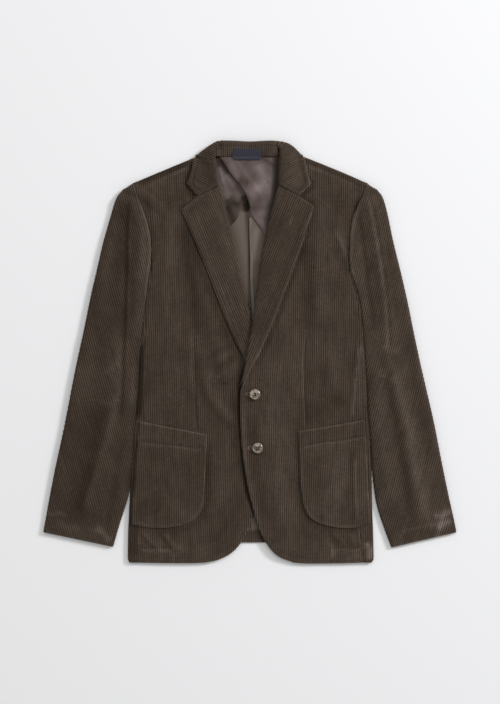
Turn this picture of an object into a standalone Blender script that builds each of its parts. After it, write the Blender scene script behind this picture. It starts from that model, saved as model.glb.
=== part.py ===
"""A corduroy jacket laid flat on its back, fronts up, one closed wall for each cut piece.

The collar points along +Y and the fronts face +Z. Wearer's left is +X. Tables are in millimetres.
"""

import bpy
import numpy as np

MM = 0.001
CLOTH = 2.0  # thickness of the corduroy
LINING = 1.0  # thickness of the lining, the binding and the neck label
SEAM = 0.4  # gap left between neighbouring pieces
FLOOR = CLOTH / 2  # mid-plane of the cloth that lies on the surface
BODY_TOP = 5.4  # mid-plane of the fronts where they lie on the back
SLEEVE_TOP = 6.0
LAYER = CLOTH + SEAM  # what one more layer of corduroy adds
OVERLAP_RISE = 2.8  # how far the buttoned-over front climbs on the front below
CROSSING_RISE = 3.9  # and how much more where the lower lapel ends under it
ROLL = 3.4  # radius of the turned edge of lapel and collar
POCKET_LIFT = LAYER + 0.8  # mid-plane of a patch pocket above the front's
EDGE_GAP = 1.2  # from where a lapel starts to roll up to the cloth edge of its front
COLLAR_TOP = 14.0  # mid-plane of the fold of the collar
COLLAR_SIDE_TOP = 8.8  # mid-plane of its leaf where that passes over the side of the neck
COLLAR_SLOPE_FROM = 12.0  # a leaf this wide on top stays level, and a wider one slopes down outward
COLLAR_SLOPE_RANGE = 22.0
STAND_FOOT = 4.6  # mid-plane of the collar stand at the neck seam
LINING_LEVEL = CLOTH + SEAM + LINING / 2
BUTTON_WIDTH = 20.0
BUTTON_THICK = 4.0
BUTTON_HOLE = 1.1
BUTTON_HOLE_RING = 2.6
HEM_CENTRE = -353.0

CORDUROY = ("corduroy", (0.050, 0.038, 0.028, 1.0), 0.9)
SATIN = ("satin_lining", (0.115, 0.085, 0.075, 1.0), 0.45)
NAVY = ("navy_label", (0.022, 0.024, 0.035, 1.0), 0.8)
HORN = ("horn_button", (0.30, 0.25, 0.19, 1.0), 0.35)

# Soft rolls of the cloth: which pieces they lift, the line they follow, half width and height.
RIDGES = (
    # piece, width, height, points (x, y)
    ("body", 24, 2.6, ((-152, 235), (-150, 110), (-152, 0), (-160, -90))),
    ("body", 20, 3.2, ((-92, 150), (-72, 70), (-55, 10))),
    ("body", 15, 3.8, ((-74, 30), (-44, -40), (-22, -100))),
    ("body", 24, 2.2, ((-58, -190), (-52, -270), (-62, -340))),
    ("body", 18, 2.4, ((-168, -215), (-138, -262), (-108, -312))),
    ("body", 8, 2.0, ((-202, -322), (-180, -338), (-158, -362))),
    ("body", 8, 2.0, ((-166, -328), (-146, -345), (-130, -366))),
    ("body", 20, 2.6, ((128, 262), (136, 200), (142, 140))),
    ("body", 10, 3.0, ((158, 232), (170, 190), (180, 158))),
    ("body", 22, 2.8, ((64, 70), (70, -10), (72, -90))),
    ("body", 20, 2.0, ((146, 60), (150, -20), (150, -100))),
    ("body", 8, 2.0, ((203, 30), (203, -40), (203, -110))),
    ("body", 7, 2.0, ((192, -165), (196, -240), (199, -312))),
    ("body", 20, 2.4, ((40, -200), (52, -270), (66, -345))),
    ("body", 8, 2.0, ((158, -326), (176, -340), (196, -352))),
    ("body", 46, 6.0, ((-196, 276), (-182, 292))),
    ("body", 46, 6.0, ((194, 276), (182, 292))),
    ("sleeve_right", 40, 5.0, ((-226, 262), (-218, 288))),
    ("sleeve_right", 12, 6.5, ((-207, 276), (-199, 235), (-201, 180), (-208, 110), (-214, 40))),
    ("sleeve_right", 17, 5.0, ((-250, 96), (-256, 22), (-262, -80), (-282, -190), (-306, -300))),
    ("sleeve_right", 8, 2.6, ((-219, -25), (-218, -100), (-224, -160))),
    ("sleeve_right", 18, 3.6, ((-262, 215), (-299, 40), (-342, -150), (-362, -290))),
    ("sleeve_left", 40, 5.0, ((226, 262), (218, 288))),
    ("sleeve_left", 12, 6.5, ((218, 280), (230, 235), (239, 175), (249, 115), (252, 40), (250, -15))),
    ("sleeve_left", 14, 5.0, ((262, -15), (276, -85), (290, -160), (304, -235), (330, -318))),
    ("sleeve_left", 18, 3.6, ((268, 190), (300, 60), (336, -100), (366, -250))),
    ("sleeve_left", 12, 3.0, ((222, 60), (232, -40), (246, -160), (262, -270))),
)

# Side fold of the body and the seam between front and side panel, from the underarm to the hem.
BODY_SIDE = (
    # y, fold_right, seam_right, fold_left, seam_left, seam_under
    (150, -184.6, -176.5, 185.5, 177.5, 170.0),
    (96, -191.7, -185.0, 200.6, 195.0, 158.0),
    (59, -196.0, -189.0, 206.0, 200.0, 153.0),
    (4, -201.5, -193.0, 210.4, 200.5, 150.0),
    (-52, -205.0, -196.0, 213.4, 192.0, 150.0),
    (-126, -210.3, -197.0, 217.4, 188.0, 150.0),
    (-200, -216.4, -201.0, 221.8, 192.0, 150.0),
    (-274, -221.9, -205.0, 224.6, 197.0, 150.0),
    (-330, -225.0, -207.0, 227.0, 202.5, 150.0),
    (-389, -226.0, -207.0, 228.5, 209.0, 150.0),
)

SLEEVE_RIGHT = (
    # outer_x, outer_y, inner_x, inner_y, turned: share of the inner edge that is turned under
    (-236, 297, -215.4, 305.3, 0.0),
    (-244, 288, -208.4, 287, 0.0),
    (-250.5, 274, -200.9, 268, 0.0),
    (-257, 252, -192.0, 243, 0.0),
    (-264, 228, -184.5, 207, 0.0),
    (-272, 199, -185.0, 166, 0.15),
    (-281, 160, -188.5, 134, 0.6),
    (-294, 104, -194.5, 84, 1.0),
    (-308, 36, -202.0, 16, 1.0),
    (-324, -38, -207.0, -60, 1.0),
    (-341, -126, -213.5, -150, 1.0),
    (-357, -202, -220.5, -228, 1.0),
    (-369, -262, -230.5, -280, 1.0),
    (-376, -300, -243.0, -322, 1.0),
    (-382, -333, -253.0, -360, 1.0),
)
SLEEVE_LEFT = (
    # outer_x, outer_y, inner_x, inner_y, turned
    (236, 297, 215.4, 305.3, 0.0),
    (243.5, 288, 207.3, 285, 0.0),
    (249.5, 272, 198.6, 267, 0.0),
    (256, 246, 190.2, 245, 0.0),
    (264, 207, 185.9, 207, 0.0),
    (273, 170, 185.5, 158, 0.15),
    (282, 133, 192.0, 132, 0.6),
    (293, 84, 204.5, 84, 1.0),
    (306, 20, 211.5, 10, 1.0),
    (322, -52, 215.5, -66, 1.0),
    (340, -130, 220.0, -146, 1.0),
    (356, -212, 226.0, -226, 1.0),
    (368, -270, 233.5, -280, 1.0),
    (376, -306, 246.5, -322, 1.0),
    (381.5, -333, 261.0, -361, 1.0),
)

# Edges of the fronts: round the neck under the collar, and from the foot of the lapel to the hem. Between
# the two the edge follows the lapel's roll.
NECKLINE_RIGHT = ((-103, 349), (-86, 333), (-72, 316))
NECKLINE_LEFT = ((101, 349), (83, 333), (69, 316))
FRONT_RIGHT_EDGE = (
    (28, -66), (32, -100), (33, -163), (29, -237), (20, -275), (6, -305), (-6, -331), (-20, -353),
    (-40, -374), (-68, -388),
)
FRONT_LEFT_EDGE = (
    (-17.5, -80), (-18, -110), (-17, -150), (-14, -185), (-6, -237), (3, -278), (14, -318),
    (28, -350), (50, -376), (80, -389),
)
HEM_RIGHT = ((-68, -388), (-96, -390), (-160, -390), (-206, -389))
HEM_LEFT = ((80, -389), (104, -391), (160, -391), (208, -390))
SHOULDER_RIGHT = ((-108, 357), (-139, 344), (-183, 325.5), (-217, 311))
SHOULDER_LEFT = ((106, 358), (141, 344), (185, 325.5), (217, 311))
ARMHOLE_RIGHT = (
    (-214.5, 305), (-207.5, 287), (-200, 268), (-191, 243), (-183.5, 207), (-182, 189), (-181.5, 172),
)
ARMHOLE_LEFT = (
    (214.5, 305), (206.4, 285), (197.7, 267), (189.3, 245), (185, 207), (183, 186), (182, 170),
)

LAPEL_RIGHT = (
    # roll_x, roll_y, edge_x, edge_y
    (-57, 303, -127, 263),
    (-46, 263, -117, 240),
    (-39, 235, -105, 213),
    (-31, 207, -92, 181),
    (-24, 174, -79, 150),
    (-17, 139, -67, 118),
    (-9, 111, -56, 87),
    (-3, 78, -46, 62),
    (3, 40, -33, 32),
    (9, 12, -18, 2),
    (15, -12, -5, -20),
    (20, -32, 8, -36),
)
LAPEL_LEFT = (
    # roll_x, roll_y, edge_x, edge_y
    (53, 303, 118, 269),
    (41, 263, 109, 240),
    (34, 235, 98, 204),
    (27, 204, 87, 172),
    (20, 166, 76, 142),
    (15, 128, 63, 108),
    (10, 90, 51, 74),
    (5, 52, 37, 40),
    (0, 22, 24, 9),
    (-5, -5, 10, -17),
    (-11, -36, -4, -43),
    (-18, -66, -15, -68),
)
NOTCH_RIGHT = (-97, 285.5)
NOTCH_LEFT = (91, 285.5)

# Collar leaf from the right tip round the back of the neck to the left tip: the fold, the point where
# the leaf passes over the side of the neck, and its outer edge, which lies underneath at the back.
COLLAR = (
    # fold_x, fold_y, over_x, over_y, edge_x, edge_y, under, lead
    (-58.5, 306.5, -97, 288.5, -117, 311, 0.0, 1.0),
    (-61, 318, -89, 308, -114, 318, 0.0, 1.0),
    (-63, 331, -87, 327, -108.5, 333, 0.0, 1.0),
    (-64, 343, -86, 341, -106, 346, 0.0, 1.0),
    (-65, 355, -92, 354, -104, 358, 0.1, 1.0),
    (-65, 361, -101, 361, -99, 357.5, 0.6, 1.0),
    (-65, 367, -96, 365.3, -91, 357, 1.0, 1.0),
    (-64, 375, -85, 373.4, -79, 354, 1.0, 1.0),
    (-60, 379.5, -72, 382.6, -68, 352.5, 1.0, 0.7),
    (-52, 381, -58, 389.6, -55, 352, 1.0, 0.2),
    (-30, 381, -30, 390, -30, 352, 1.0, 0.0),
    (0, 380, 0, 388.5, 0, 352, 1.0, 0.0),
    (30, 381, 30, 390, 30, 352, 1.0, 0.0),
    (46, 381, 50, 389.5, 50, 352, 1.0, 0.2),
    (52, 379, 69, 385.5, 64, 352.5, 1.0, 0.7),
    (56, 374, 82, 377.5, 76, 354, 1.0, 1.0),
    (56, 366, 92.5, 367, 88, 357, 1.0, 1.0),
    (56, 360.5, 97.5, 361, 95, 357.5, 0.6, 1.0),
    (56, 355, 88, 354, 100.5, 358, 0.1, 1.0),
    (55, 343, 81, 342, 103.5, 346, 0.0, 1.0),
    (55, 331, 83, 328, 106, 333, 0.0, 1.0),
    (54, 318, 84, 309, 109, 319, 0.0, 1.0),
    (54.5, 306.5, 91, 288.5, 113, 310.5, 0.0, 1.0),
)

POCKET_RIGHT = {
    "top": ((-79.5, -152), (-143, -140), (-203.5, -128)),
    "bottom": ((-87, -287), (-96, -302), (-115, -316), (-148, -324), (-185, -324), (-218.5, -318)),
    "inner": ((-79.5, -152), (-82, -200), (-84, -250), (-87, -287)),
    "outer": ((-203.5, -128), (-209, -180), (-214.5, -250), (-218.5, -318)),
}
POCKET_LEFT = {
    "top": ((89, -146), (150, -136), (211.5, -125)),
    "bottom": ((97, -275), (106, -299), (124, -314), (155, -323), (190, -325), (221.5, -316)),
    "inner": ((89, -146), (92, -190), (93, -235), (97, -275)),
    "outer": ((211.5, -125), (214.5, -180), (218.5, -250), (221.5, -316)),
}

# What shows in the neck.
STAND = {
    "top": ((-56, 376.2), (-30, 379.9), (0, 378.9), (30, 379.9), (46, 376.7)),
    "bottom": ((-60, 361.5), (0, 361.2), (46, 361.5)),
    "inner": ((-56, 376.2), (-60, 361.5)),
    "outer": ((46, 376.7), (46, 361.5)),
}
LABEL = {
    "top": ((-30, 374.5), (22, 374.5)),
    "bottom": ((-30, 356), (22, 356)),
    "inner": ((-30, 374.5), (-30, 356)),
    "outer": ((22, 374.5), (22, 356)),
}
LINING_RIGHT = {
    "top": ((-60, 359.5), (-44, 359.5)),
    "bottom": ((-44, 224), (-37, 231), (-24, 247), (-17, 263), (-7, 281)),
    "inner": ((-60, 359.5), (-60, 320), (-56, 270), (-44, 224)),
    "outer": ((-44, 359.5), (-26, 337), (-6, 306), (-7, 281)),
}
LINING_LEFT = {
    "top": ((-57, 359.5), (0, 359.5), (50, 359.5)),
    "bottom": ((36, 203), (56, 215)),
    "inner": ((-57, 359.5), (-35, 328), (-13, 300), (0, 268), (5, 250), (15, 235), (36, 203)),
    "outer": ((50, 359.5), (50, 320), (52, 270), (56, 215)),
}
BINDING = {
    "top": ((-2, 248), (4, 248)),
    "bottom": ((4, 60), (10, 60)),
    "inner": ((-2, 248), (-0.5, 185), (1, 115), (4, 60)),
    "outer": ((4, 248), (5.5, 185), (7, 115), (10, 60)),
}

SHOULDER_OUT = np.array((0.39, 0.92))  # square to the shoulder, on the wearer's left
SLEEVE_COLUMNS = 12
BUTTONS = (("button_upper", 9.0, -78.0), ("button_lower", 14.0, -177.0))


def spline(points, count):
    """Points spaced evenly along a smooth curve through the given ones."""
    points = np.array(points, float)
    padded = np.vstack([2 * points[0] - points[1], points, 2 * points[-1] - points[-2]])
    dense = []
    for before, start, end, after in zip(padded, padded[1:], padded[2:], padded[3:]):
        for t in np.linspace(0, 1, 12, endpoint=False):
            bend = 2 * before - 5 * start + 4 * end - after
            cubic = 3 * (start - end) + after - before
            dense.append(0.5 * (2 * start + (end - before) * t + bend * t**2 + cubic * t**3))
    return evenly(np.vstack([dense, points[-1]]), count)


def evenly(points, count):
    """Points spaced evenly along a polyline."""
    steps = np.linalg.norm(np.diff(points, axis=0), axis=1)
    along = np.concatenate([[0], np.cumsum(steps)])
    wanted = np.linspace(0, along[-1], count)
    return np.stack([np.interp(wanted, along, axis) for axis in np.transpose(points)], axis=1)


def between(table, rows):
    """A table of rows, smoothed to the given number of rows."""
    table = np.array(table, float)
    places = np.linspace(0, len(table) - 1, rows)
    padded = np.vstack([2 * table[0] - table[1], table, 2 * table[-1] - table[-2]])
    found = []
    for place in places:
        i = min(int(place), len(table) - 2)
        t = place - i
        before, start, end, after = padded[i : i + 4]
        bend = 2 * before - 5 * start + 4 * end - after
        cubic = 3 * (start - end) + after - before
        found.append(0.5 * (2 * start + (end - before) * t + bend * t**2 + cubic * t**3))
    return np.array(found)


def patch(top, bottom, inner, outer):
    """A grid that fills four edges: rows run from inner to outer, from the top edge to the bottom."""
    u = np.linspace(0, 1, len(top))[None, :, None]
    v = np.linspace(0, 1, len(inner))[:, None, None]
    ruled = (1 - v) * top[None] + v * bottom[None] + (1 - u) * inner[:, None] + u * outer[:, None]
    corners = (1 - v) * ((1 - u) * top[0] + u * top[-1]) + v * ((1 - u) * bottom[0] + u * bottom[-1])
    return ruled - corners


def ease(value):
    value = np.clip(value, 0, 1)
    return value * value * (3 - 2 * value)


def lift(piece, x, y):
    """Height that the soft rolls add at a place."""
    total = np.zeros(np.broadcast(x, y).shape)
    for name, width, height, points in RIDGES:
        if name != piece:
            continue
        line = spline(points, 9)
        share = np.linspace(0, 1, 9)
        near = np.full(total.shape, np.inf)
        place = np.zeros(total.shape)
        for (ax, ay), (bx, by), first, last in zip(line, line[1:], share, share[1:]):
            length2 = (bx - ax) ** 2 + (by - ay) ** 2
            t = np.clip(((x - ax) * (bx - ax) + (y - ay) * (by - ay)) / length2, 0, 1)
            away = np.hypot(x - ax - t * (bx - ax), y - ay - t * (by - ay))
            place = np.where(away < near, first + t * (last - first), place)
            near = np.minimum(near, away)
        taper = 0.45 + 0.55 * np.sin(np.pi * np.clip(place, 0, 1))
        total += height * taper * np.exp(-((near / width) ** 2))
    return total


def body_height(x, y):
    """Mid-plane of the fronts and side panels."""
    return BODY_TOP + lift("body", x, y)


def front_left_height(x, y):
    """The buttoned-over front also climbs on the front below it."""
    near_edge = ease((84 - x) / 44)
    climb = OVERLAP_RISE * ease((110 - y) / 60)
    crossing = CROSSING_RISE * ease((110 - y) / 55) * ease((y + 110) / 55)
    return body_height(x, y) + near_edge * (climb + crossing)


def new_material(name, colour, roughness):
    material = bpy.data.materials.get(name)
    if material:
        return material
    material = bpy.data.materials.new(name)
    material.use_nodes = True
    shader = material.node_tree.nodes["Principled BSDF"]
    shader.inputs["Base Color"].default_value = colour
    shader.inputs["Roughness"].default_value = roughness
    shader.inputs["Metallic"].default_value = 0.0
    return material


def add_mesh(name, points, faces, finish):
    mesh = bpy.data.meshes.new(name)
    mesh.from_pydata([tuple(point * MM) for point in points], [], faces)
    mesh.shade_smooth()
    mesh.set_sharp_from_angle(angle=np.radians(50))
    mesh.materials.append(new_material(*finish))
    thing = bpy.data.objects.new(name, mesh)
    bpy.context.scene.collection.objects.link(thing)
    return thing


def normals_of(grid):
    across = np.gradient(grid, axis=1)
    along = np.gradient(grid, axis=0)
    normal = np.cross(across, along)
    return normal / np.maximum(np.linalg.norm(normal, axis=2, keepdims=True), 1e-9)


def wall(name, grid, thickness, finish, steady=False):
    """A closed wall round a grid of mid-plane points, never below the surface it lies on."""
    rows, columns = grid.shape[:2]
    normal = np.broadcast_to((0.0, 0.0, 1.0), grid.shape) if steady else normals_of(grid)
    one = grid + normal * thickness / 2
    other = grid - normal * thickness / 2
    points = np.concatenate([one.reshape(-1, 3), other.reshape(-1, 3)])
    points[:, 2] = np.maximum(points[:, 2], 0.0)
    count = rows * columns
    faces = []
    for i in range(rows - 1):
        for j in range(columns - 1):
            a, b = i * columns + j, i * columns + j + 1
            c, d = b + columns, a + columns
            faces.append((a, b, c, d))
            faces.append((d + count, c + count, b + count, a + count))
    rim = [j for j in range(columns)]
    rim += [i * columns + columns - 1 for i in range(1, rows)]
    rim += [(rows - 1) * columns + j for j in range(columns - 2, -1, -1)]
    rim += [i * columns for i in range(rows - 2, 0, -1)]
    for a, b in zip(rim, rim[1:] + rim[:1]):
        faces.append((b, a, a + count, b + count))
    volume = 0.0
    for face in faces:
        p = points[list(face)]
        volume += np.dot(p[0], np.cross(p[1], p[2])) + np.dot(p[0], np.cross(p[2], p[3]))
    if volume < 0:
        faces = [face[::-1] for face in faces]
    return add_mesh(name, points, faces, finish)


def raised(plan, height):
    """Plan points with their height."""
    return np.concatenate([plan, height[..., None]], axis=-1)


def turn(top, outward, start, end, steps=6):
    """A half round from one level to another that bulges outward, from a given point."""
    radius = abs(end - start) / 2
    middle = (start + end) / 2
    angle = np.linspace(0, np.pi, steps)
    plan = top[None] + radius * np.sin(angle)[:, None] * outward[None]
    return raised(plan, middle + (start - middle) * np.cos(angle))


def heading(start, end):
    way = np.array(end, float) - np.array(start, float)
    return way / np.linalg.norm(way)


def side_rows():
    """The side seams and folds, smoothed, at the rows that the neighbouring pieces share."""
    return between(BODY_SIDE, 13)


def side_panel(side):
    """The panel that wraps the side fold of the body, from its seam on top to the one underneath."""
    fold_column, seam_column = (1, 2) if side < 0 else (3, 4)
    outward = np.array((float(side), 0.0))
    grid = []
    for row in side_rows():
        y = row[0]
        seam = np.array((row[seam_column] + side * SEAM, y))
        height = float(body_height(row[fold_column], y))
        radius = (height - FLOOR) / 2
        edge = np.array((row[fold_column] - side * (radius + CLOTH / 2), y))
        if (edge - seam)[0] * side < 0.8:
            edge = seam + outward * 0.8
        flat = np.linspace(seam, edge, 3, endpoint=False)
        top = raised(flat, body_height(flat[:, 0], flat[:, 1]))
        under = raised(np.linspace(edge, (side * row[5], y), 4)[1:], np.full(3, FLOOR))
        grid.append(np.concatenate([top, turn(edge, outward, height, FLOOR), under]))
    name = "side_panel_right" if side < 0 else "side_panel_left"
    wall(name, np.array(grid), CLOTH, CORDUROY)


def front(name, neckline, table, edge, hem, shoulder, armhole, seam_column, side, height):
    """A front from the shoulder fold, which it wraps, to the hem."""
    seams = side_rows()[:, [seam_column, 0]]
    outer = np.concatenate([spline(armhole, 9), seams])
    rolls = np.array([roll_start(row)[0] + roll_start(row)[1] * EDGE_GAP for row in lapel_rows(table)])
    along = np.concatenate([spline(neckline, 4), rolls, spline(edge, 10)])
    inner = evenly(along, len(outer))
    fold = spline(shoulder, 12)
    radius = 0.5 * (body_height(*np.transpose(fold)) - FLOOR)
    outward = SHOULDER_OUT * (side, 1)
    top = fold - outward * (radius[:, None] + CLOTH / 2)
    fade = np.linspace(1, 0, len(outer))[:, None]
    outer = outer + np.maximum(fade * 6 - 5, 0) * (top[-1] - outer[0])
    inner = inner + np.maximum(fade * 8 - 7, 0) * (top[0] - inner[0])
    plan = patch(top, spline(hem, 12), inner, outer)
    surface = raised(plan, height(plan[..., 0], plan[..., 1]))
    rolled = [turn(p, outward, z, FLOOR) for p, z in zip(top, surface[0, :, 2])]
    rolled = np.transpose(np.array(rolled), (1, 0, 2))[::-1]
    wall(name, np.concatenate([rolled[:-1], surface]), CLOTH, CORDUROY)


def back(side):
    """Half of the back, flat on the surface from the centre seam to the side panel and armhole."""
    x = float(side)
    name = "back_right" if side < 0 else "back_left"
    centre = spline(((x * SEAM / 2, 351), (x * SEAM / 2, 0), (x * SEAM / 2, HEM_CENTRE)), 14)
    armhole = ARMHOLE_RIGHT if side < 0 else ARMHOLE_LEFT
    shoulder = SHOULDER_RIGHT if side < 0 else SHOULDER_LEFT
    line = np.array(shoulder, float) - SHOULDER_OUT * (x, 1) * 15.5
    line[-1] = (x * 206, 289)
    neck = np.array(((x * SEAM / 2, 351), (x * 54, 351), (x * 72, 350)))
    top = np.concatenate([neck, line])
    down = [(ax - x * 3.0, ay) for ax, ay in armhole[2:]]
    seams = side_rows()
    seam = np.stack([x * (seams[:, 5] - SEAM), seams[:, 0]], axis=1)
    seam[-1, 1] = -387
    outer = np.concatenate([line[-1:], spline(down, 6), seam])
    hem = spline(((x * SEAM / 2, HEM_CENTRE), (x * 60, -366), (x * 110, -384), seam[-1]), 6)
    centre = evenly(centre, len(outer))
    plan = patch(evenly(top, 6), hem, centre, outer)
    wall(name, raised(plan, np.full(plan.shape[:2], FLOOR)), CLOTH, CORDUROY, steady=True)


def sleeve_head(point, outward):
    """The rounded end of the sleeve over the shoulder, from a point of its first row to the surface."""
    angle = np.linspace(0, np.pi / 2, 5)
    reach = max(0.6 * (point[2] - FLOOR), 1.2)
    plan = point[None, :2] + reach * np.sin(angle)[:, None] * outward[None]
    return raised(plan, FLOOR + (point[2] - FLOOR) * np.cos(angle))


def sleeve(side):
    """The top sleeve wraps both edges, and the under sleeve closes it on the surface."""
    piece = "sleeve_right" if side < 0 else "sleeve_left"
    table = between(SLEEVE_RIGHT if side < 0 else SLEEVE_LEFT, 18)
    grid, inner_seam, outer_seam = [], [], []
    for row in table:
        outer, inner = row[0:2], row[2:4]
        turned = float(np.clip(row[4], 0, 1))
        out = heading(inner, outer)
        width = np.linalg.norm(outer - inner)
        high_out = SLEEVE_TOP + float(lift(piece, *(outer - out * 6)))
        high_in = SLEEVE_TOP + float(lift(piece, *(inner + out * 6)))
        low = high_in + (FLOOR - high_in) * turned
        radius_out = (high_out - FLOOR) / 2
        radius_in = (high_in - low) / 2
        start = inner + out * (radius_in + turned * CLOTH / 2)
        end = outer - out * (radius_out + CLOTH / 2)
        flat = evenly(np.array([start, end]), SLEEVE_COLUMNS)
        height = SLEEVE_TOP + lift(piece, flat[:, 0], flat[:, 1])
        keep = np.linspace(1, 0, SLEEVE_COLUMNS)
        height += (high_in - height[0]) * keep**3 + (high_out - height[-1]) * (1 - keep) ** 3
        rise = turn(start, -out, low, high_in, 5)
        fall = turn(end, out, high_out, FLOOR, 5)
        reach = min(26.0, width * 0.25)
        seam_out = end - out * reach
        seam_in = start + out * (0.5 + 7.0 * turned)
        if turned < 1:
            lead = rise[:1] - (rise[1] - rise[0]) * 0.4
        else:
            lead = raised(seam_in[None], np.full(1, low))
        tail = raised(seam_out[None], np.full(1, FLOOR))
        grid.append(np.concatenate([lead, rise[:-1], raised(flat, height), fall[1:], tail]))
        inner_seam.append(seam_in + out * SEAM if turned > 0.5 else inner + out * 2.0)
        outer_seam.append(seam_out - out * SEAM)
    cap = np.transpose([sleeve_head(point, SHOULDER_OUT * (side, 1)) for point in grid[0]], (1, 0, 2))[::-1]
    wall(f"sleeve_top_{piece[7:]}", np.concatenate([cap[:-1], np.array(grid)]), CLOTH, CORDUROY)
    first = 2
    inner_seam, outer_seam = np.array(inner_seam)[first:], np.array(outer_seam)[first:]
    share = np.linspace(0, 1, 5)[None, :, None]
    plan = inner_seam[:, None] * (1 - share) + outer_seam[:, None] * share
    flat = raised(plan, np.full(plan.shape[:2], FLOOR))
    wall(f"sleeve_under_{piece[7:]}", flat, CLOTH, CORDUROY, steady=True)


def lapel_rows(table):
    return between(table, 17)


def roll_start(row):
    """Where a lapel's roll stands on its front, the way out from there, and the radius of the roll."""
    roll, edge = row[0:2], row[2:4]
    out = heading(roll, edge)
    radius = float(np.clip((np.linalg.norm(edge - roll) - 14) * 0.12, 1.35, ROLL))
    return roll + out * (radius + 0.2), out, radius


def lapel(name, table, notch, height):
    """The turned-back facing: it rolls up from the front's edge and lies down towards its own edge."""
    grid = []
    for index, row in enumerate(lapel_rows(table)):
        start, out, radius = roll_start(row)
        low = float(height(*start)) + 0.2
        flat = evenly(np.array([start, row[2:4]]), 8)
        if index < 3:
            corner = np.array(notch, float) - (0, 0.8)
            bent = evenly(np.array([start, corner, row[2:4]]), 8)
            flat = flat + (bent - flat) * (1 - index / 3)
        share = ease(np.linspace(0, 1.1, 8))
        stand = 2 * radius * (1 - share) + (LAYER + 0.2) * share
        level = height(flat[:, 0], flat[:, 1]) + stand
        rolled = turn(start, -out, low, float(level[0]), 5)
        grid.append(np.concatenate([rolled[:-1], raised(flat, level)]))
    wall(name, np.array(grid), CLOTH, CORDUROY)


def collar():
    """The collar leaf: on the fronts it lies like the lapels, and round the back it folds underneath."""
    grid = []
    for row in between(COLLAR, 31):
        fold, over, edge = row[0:2], row[2:4], row[4:6]
        share_under, share_lead = np.clip(row[6:8], 0, 1)
        out = heading(fold, over)
        low = BODY_TOP + 1.0
        start = fold + out * ROLL * share_lead
        lead = turn(start, -out, low, COLLAR_TOP, 5)
        lead = lead[-1] + (lead - lead[-1]) * share_lead
        flat = evenly(np.array([start, over, edge]), 12)
        settle = ease(np.linspace(0, 1.2, 12))
        rest = body_height(flat[:, 0], flat[:, 1]) + LAYER + 0.4
        on_top = raised(flat, COLLAR_TOP + (rest - COLLAR_TOP) * settle)
        sloping = ease((np.linalg.norm(over - fold) - COLLAR_SLOPE_FROM) / COLLAR_SLOPE_RANGE)
        brink_top = COLLAR_TOP - (COLLAR_TOP - COLLAR_SIDE_TOP) * sloping
        drop = (brink_top - FLOOR) / 2
        brink = start + out * max(np.dot(over - start, out) - drop - CLOTH / 2, 0.0)
        share = np.linspace(0, 1, 5)[:-1]
        level = COLLAR_TOP + (brink_top - COLLAR_TOP) * ease(share)
        slope = raised(start + (brink - start) * share[:, None], level)
        fall = turn(brink, out, brink_top, FLOOR, 7)
        below = raised(np.linspace(brink, edge, 4)[1:], np.full(3, FLOOR))
        wrapped = evenly(np.concatenate([slope, fall, below]), 12)
        body = on_top + (wrapped - on_top) * share_under
        grid.append(np.concatenate([evenly(lead, 4)[:-1], body]))
    wall("collar", np.array(grid), CLOTH, CORDUROY)


def panel(name, edges, height, thickness, finish, rows=10, columns=10, bent=True):
    """A flat piece between four edges, at the given height."""
    line = spline if bent else evenly
    top, bottom = (line(np.array(edges[side], float), columns) for side in ("top", "bottom"))
    inner, outer = (line(np.array(edges[side], float), rows) for side in ("inner", "outer"))
    plan = patch(top, bottom, inner, outer)
    return wall(name, raised(plan, height(plan[..., 0], plan[..., 1])), thickness, finish)


def stand_height(x, y):
    """The collar stand leans from the neck seam up to the fold of the collar."""
    return STAND_FOOT + (COLLAR_TOP - STAND_FOOT) * np.clip((y - 361) / 19.5, 0, 1) ** 0.85 + 0 * x


def lining_left_height(x, y):
    """The left half of the lining lies on the right half along its slanting edge."""
    edge_x = np.interp(-y, (-359.5, -328, -300, -268, -250, -235), (-57, -35, -13, 0, 5, 15))
    return LINING_LEVEL + (LINING + SEAM) * ease((34 - (x - edge_x)) / 10) * ease((y - 262) / 8)


def level(value):
    return lambda x, y: np.full(np.shape(x), value)


def button(name, x, y):
    """A dished disc with a rounded rim and four sewing holes."""
    radius, half = BUTTON_WIDTH / 2, BUTTON_THICK / 2
    around = np.linspace(0, 2 * np.pi, 16)
    under = front_left_height(x + radius * np.cos(around), y + radius * np.sin(around))
    foot = float(under.max()) + CLOTH / 2 + SEAM
    profile = ((0, 0), (radius - 2.2, 0), (radius - 0.5, 0.9), (radius, half), (radius - 0.5, 3.4),
               (radius - 1.6, BUTTON_THICK), (radius - 3.0, 3.3), (0, 2.9))
    sides = 18
    angles = np.arange(sides) * 2 * np.pi / sides
    points = [(x, y, foot)]
    for r, z in profile[1:-1]:
        points += [(x + r * np.cos(a), y + r * np.sin(a), foot + z) for a in angles]
    points.append((x, y, foot + profile[-1][1]))
    faces = [(0, 1 + (k + 1) % sides, 1 + k) for k in range(sides)]
    for ring in range(len(profile) - 3):
        base = 1 + ring * sides
        for k in range(sides):
            after = (k + 1) % sides
            faces.append((base + k, base + after, base + sides + after, base + sides + k))
    last = len(points) - 1 - sides
    faces += [(last + k, last + (k + 1) % sides, len(points) - 1) for k in range(sides)]
    disc = add_mesh(name, np.array(points), faces, HORN)
    for corner in range(4):
        angle = np.pi / 4 + corner * np.pi / 2
        place = (x + BUTTON_HOLE_RING * np.cos(angle), y + BUTTON_HOLE_RING * np.sin(angle), foot + half)
        depth = 3 * BUTTON_THICK * MM
        where = [v * MM for v in place]
        bpy.ops.mesh.primitive_cylinder_add(vertices=10, radius=BUTTON_HOLE * MM, depth=depth, location=where)
        cutter = bpy.context.object
        cutter.name = f"{name}_hole_{corner}"
        cutter.hide_render = True
        cutter.display_type = "WIRE"
        cut = disc.modifiers.new("hole", "BOOLEAN")
        cut.operation = "DIFFERENCE"
        cut.object = cutter


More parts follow.
